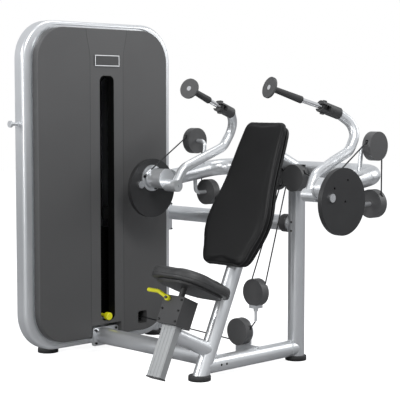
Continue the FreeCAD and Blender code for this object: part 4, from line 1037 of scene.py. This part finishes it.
class MACHINE_OT_tower(Operator):
    """The weight tower's rim, shell, panel, trim and blank plate"""

    bl_idname = "machine.tower"
    bl_label = "Tower"

    def execute(self, context):
        dress(silver_paint, "tower_rim", "tower_back_shell", "tower_chassis",
              "side_peg")
        dress(charcoal_panel, "front_panel")
        dress(bright_trim, "panel_trim")
        dress(blank_label, "blank_plate")
        return {"FINISHED"}


class MACHINE_OT_stack(Operator):
    """The weight stack, its guides and its selector"""

    bl_idname = "machine.stack"
    bl_label = "Weight stack"

    def execute(self, context):
        # The stack's near-black finish is darkened beyond its own black, as painted
        # shade behind the slot.
        dress(stack_black_and_shade, "weight_plates", "selector_rod")
        dress(chrome_steel, "guide_rods")
        dress(yellow_control, "selector_pin")
        return {"FINISHED"}


class MACHINE_OT_levers(Operator):
    """The lever arms with dark sleeves over their forks"""

    bl_idname = "machine.levers"
    bl_label = "Lever arms"

    def execute(self, context):
        dress(silver_paint, "lever_arm_left", "lever_arm_right")
        start, end = (Vector(point) for point in FORK_LINE)
        low = start + (end - start).normalized() * SLEEVE_START
        for name, side in SIDES:
            line = [metres(mirrored(point, side)) for point in (low, end)]
            sleeve = skin_of("fork_sleeve_" + name, "lever_arm_" + name,
                             lambda place: near_line(place, *line), SLEEVE_LIFT)
            piece("fork_sleeve_" + name, sleeve, dark_plastic, "lever_" + name,
                  smooth=False)
        return {"FINISHED"}


class MACHINE_OT_hubs(Operator):
    """Pivot hubs, their drums, side discs and screws"""

    bl_idname = "machine.hubs"
    bl_label = "Hubs and discs"

    def execute(self, context):
        dress(silver_paint, "hub_drum_left", "hub_drum_right")
        dress(dark_steel, "lever_disc_left", "lever_disc_right")
        dress(disc_fittings, "disc_screws_left", "disc_screws_right")
        return {"FINISHED"}


class MACHINE_OT_handles(Operator):
    """Swivelling handles with ribbed grips and end stops"""

    bl_idname = "machine.handles"
    bl_label = "Handles"

    def execute(self, context):
        dress(chrome_steel, "handle_rod_left", "handle_rod_right")
        dress(cover_plastic, "hand_stop_left", "hand_stop_right")
        profile = grip_profile(context.scene.machine_looks.ribs)
        places, faces = lathe(profile, *(metres(point) for point in GRIP_LINE))
        for name, side in SIDES:
            pin = mirrored(metres(FORK_PIN), side)
            eye = skin_of("rod_eye_" + name, "handle_rod_" + name,
                          lambda place: (place - pin).length < EYE_REACH, EYE_LIFT)
            piece("rod_eye_" + name, eye, black_screw, "handle_" + name,
                  smooth=False)
            grip = mesh_from("ribbed_grip_" + name,
                             [mirrored(place, side) for place in places], faces)
            made = piece("ribbed_grip_" + name, grip, rubber_black, "handle_" + name)
            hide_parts("handle_grip_" + name)
        return {"FINISHED"}


class MACHINE_OT_cables(Operator):
    """Cables, closed pulley covers and the brackets that hold them"""

    bl_idname = "machine.cables"
    bl_label = "Cables and pulleys"

    def execute(self, context):
        dress(cable_black, "upper_cables", "cable_bight", "cable_low")
        for cable in BLACK_CABLES:
            spanning(*cable, cable_black)
        # The drop to the stack takes the same near-black, as painted shade inside the
        # tower.
        spanning(*STACK_CABLE, stack_black_and_shade)
        dress(cover_plastic, "pulley_covers", "moving_cover")
        dress(silver_paint, "pulley_hangers", "base_bracket", "moving_clevis")
        dress(dark_steel, "center_bracket")
        return {"FINISHED"}


class MACHINE_OT_seat_support(Operator):
    """The seat's post, its housing, board and yellow latch"""

    bl_idname = "machine.seat_support"
    bl_label = "Seat support"

    def execute(self, context):
        dress(alloy_post, "seat_post")
        dress(dark_plastic, "post_cap", "seat_housing_rear", "seat_housing_front")
        # Painted sheen: the board under the seat takes the seat's lighter vinyl, so the
        # seat's side reads lit down to its bottom.
        dress(seat_vinyl_painted_sheen, "seat_board")
        dress(black_screw, "housing_screws")
        dress(yellow_control, "seat_latch")
        return {"FINISHED"}


class MACHINE_OT_back_pad(Operator):
    """The back pad, swollen from its solid, with piped seams"""

    bl_idname = "machine.back_pad"
    bl_label = "Back pad"

    def execute(self, context):
        dress(back_vinyl, "back_board")
        made = cushion("back_cushion", "back_pad", "frame", back_vinyl, BACK_OUT,
                       context.scene.machine_looks.cap)
        surface = surface_of(made)
        center = base_center("back_pad", BACK_OUT)
        for name, height in BACK_SEAMS:
            stitched(name, surface, "frame", center + BACK_OUT * height, BACK_SLOPE)
        return {"FINISHED"}


class MACHINE_OT_seat_pad(Operator):
    """The round seat pad, swollen from its solid, with a piped seam"""

    bl_idname = "machine.seat_pad"
    bl_label = "Seat pad"

    def execute(self, context):
        made = cushion("seat_cushion", "seat_pad", "seat", seat_vinyl_painted_sheen, BACK_SLOPE,
                       context.scene.machine_looks.cap)
        center = base_center("seat_pad", BACK_SLOPE) + BACK_SLOPE * SEAT_SEAM
        stitched("seat_seam", surface_of(made), "seat", center, BACK_OUT)
        return {"FINISHED"}


class MACHINE_OT_feet(Operator):
    """Rubber feet under the frame"""

    bl_idname = "machine.feet"
    bl_label = "Feet"

    def execute(self, context):
        dress(rubber_black, "rubber_feet")
        boots = []
        for center, radius in islands_of("rubber_feet"):
            profile = ((0.0, radius - 0.002), (0.05, radius + 0.0005), (0.8, radius),
                       (0.95, radius - 0.0012), (1.0, radius - 0.004),
                       (1.0, FOOT_BORE))
            foot = Vector((center.x, center.y, FOOT_BOTTOM))
            boots.append(lathe(profile, foot, foot + Z_AXIS * FOOT_HEIGHT))
        piece("foot_boots", mesh_from("foot_boots", *merged(boots)), rubber_black,
              "frame")
        return {"FINISHED"}


class MACHINE_OT_stage(Operator):
    """Camera at the photograph's angle, soft lights and a pale floor"""

    bl_idname = "machine.stage"
    bl_label = "Stage"

    def execute(self, context):
        scene = context.scene
        scene.view_settings.view_transform = "Standard"
        scene.camera = self.camera()
        for name, (place, width, watts) in LAMPS.items():
            self.lamp(name, place, width, watts)
        scene.world = self.backdrop()
        self.floor()
        return {"FINISHED"}

    def camera(self):
        data = bpy.data.cameras.new("camera")
        data.lens = CAMERA_LENS
        data.sensor_width = CAMERA_SENSOR
        data.clip_end = CAMERA_FAR
        forward = Vector(CAMERA_FORWARD).normalized()
        right = Vector(CAMERA_RIGHT).normalized()
        up = right.cross(forward).normalized()
        turn = Matrix((right, up, -forward)).transposed().to_4x4()
        camera = placed("camera", data)
        camera.matrix_world = Matrix.Translation(CAMERA_PLACE) @ turn
        return camera

    def lamp(self, name, place, width, watts):
        data = bpy.data.lights.new(name, "AREA")
        data.shape = "DISK"
        data.size = width
        data.energy = watts
        aim = Vector(LAMP_AIM) - Vector(place)
        turn = aim.to_track_quat("-Z", "Y").to_matrix().to_4x4()
        placed(name, data).matrix_world = Matrix.Translation(place) @ turn

    def backdrop(self):
        """Plain light on the machine, bright to the camera and in glossy metal."""
        graph = Graph("studio", "worlds")
        graph.finish(Color=opaque(WORLD_LIGHT[0]), Strength=WORLD_LIGHT[1])
        gloss, seen = (
            graph.node("ShaderNodeBackground", None,
                       {"Color": opaque(color), "Strength": strength})["Background"]
            for color, strength in (WORLD_IN_GLOSS, WORLD_SEEN))
        lit = graph.seen_by("Is Glossy Ray", graph.shader(), gloss)
        graph.show(graph.seen_by("Is Camera Ray", lit, seen))
        return graph.owner

    def floor(self):
        """A floor that is white to the camera and throws back only plain light."""
        graph = Graph("studio_floor")
        cloud = graph.noise(1.5, 2.0)
        graph.finish(
            Base_Color=graph.tint(cloud, (0.90, 0.90, 0.90), (0.93, 0.93, 0.93)),
            Roughness=0.9,
            Specular_IOR_Level=0.0,
            Emission_Color=(1, 1, 1, 1),
            Emission_Strength=FLOOR_GLOW,
        )
        plain = graph.node("ShaderNodeBsdfDiffuse", None,
                           {"Color": opaque(FLOOR_BOUNCE)})["BSDF"]
        graph.show(graph.seen_by("Is Camera Ray", plain, graph.shader()))
        corners = [(x * FLOOR_HALF, y * FLOOR_HALF, 0)
                   for x, y in ((-1, -1), (1, -1), (1, 1), (-1, 1))]
        mesh = mesh_from("studio_floor", corners, [(0, 1, 2, 3)])
        mesh.materials.append(graph.owner)
        placed("studio_floor", mesh)


class MACHINE_PT_panel(Panel):
    """Buttons that build the machine's looks"""

    bl_idname = "MACHINE_PT_panel"
    bl_label = "Triceps machine"
    bl_space_type = "VIEW_3D"
    bl_region_type = "UI"
    bl_category = "Machine"

    def draw(self, context):
        looks = context.scene.machine_looks
        for name in MachineLooks.__annotations__:
            self.layout.prop(looks, name)
        for operator in OPERATORS:
            self.layout.operator(operator.bl_idname)


OPERATORS = (
    MACHINE_OT_frame,
    MACHINE_OT_tower,
    MACHINE_OT_stack,
    MACHINE_OT_levers,
    MACHINE_OT_hubs,
    MACHINE_OT_handles,
    MACHINE_OT_cables,
    MACHINE_OT_seat_support,
    MACHINE_OT_back_pad,
    MACHINE_OT_seat_pad,
    MACHINE_OT_feet,
    MACHINE_OT_stage,
)
CLASSES = (MachineLooks, *OPERATORS, MACHINE_PT_panel)


def register():
    for each in CLASSES:
        bpy.utils.register_class(each)
    bpy.types.Scene.machine_looks = PointerProperty(type=MachineLooks)


def unregister():
    del bpy.types.Scene.machine_looks
    for each in reversed(CLASSES):
        bpy.utils.unregister_class(each)


def main():
    register()
    for operator in OPERATORS:
        group, name = operator.bl_idname.split(".")
        getattr(getattr(bpy.ops, group), name)()


if __name__ == "__main__":
    main()
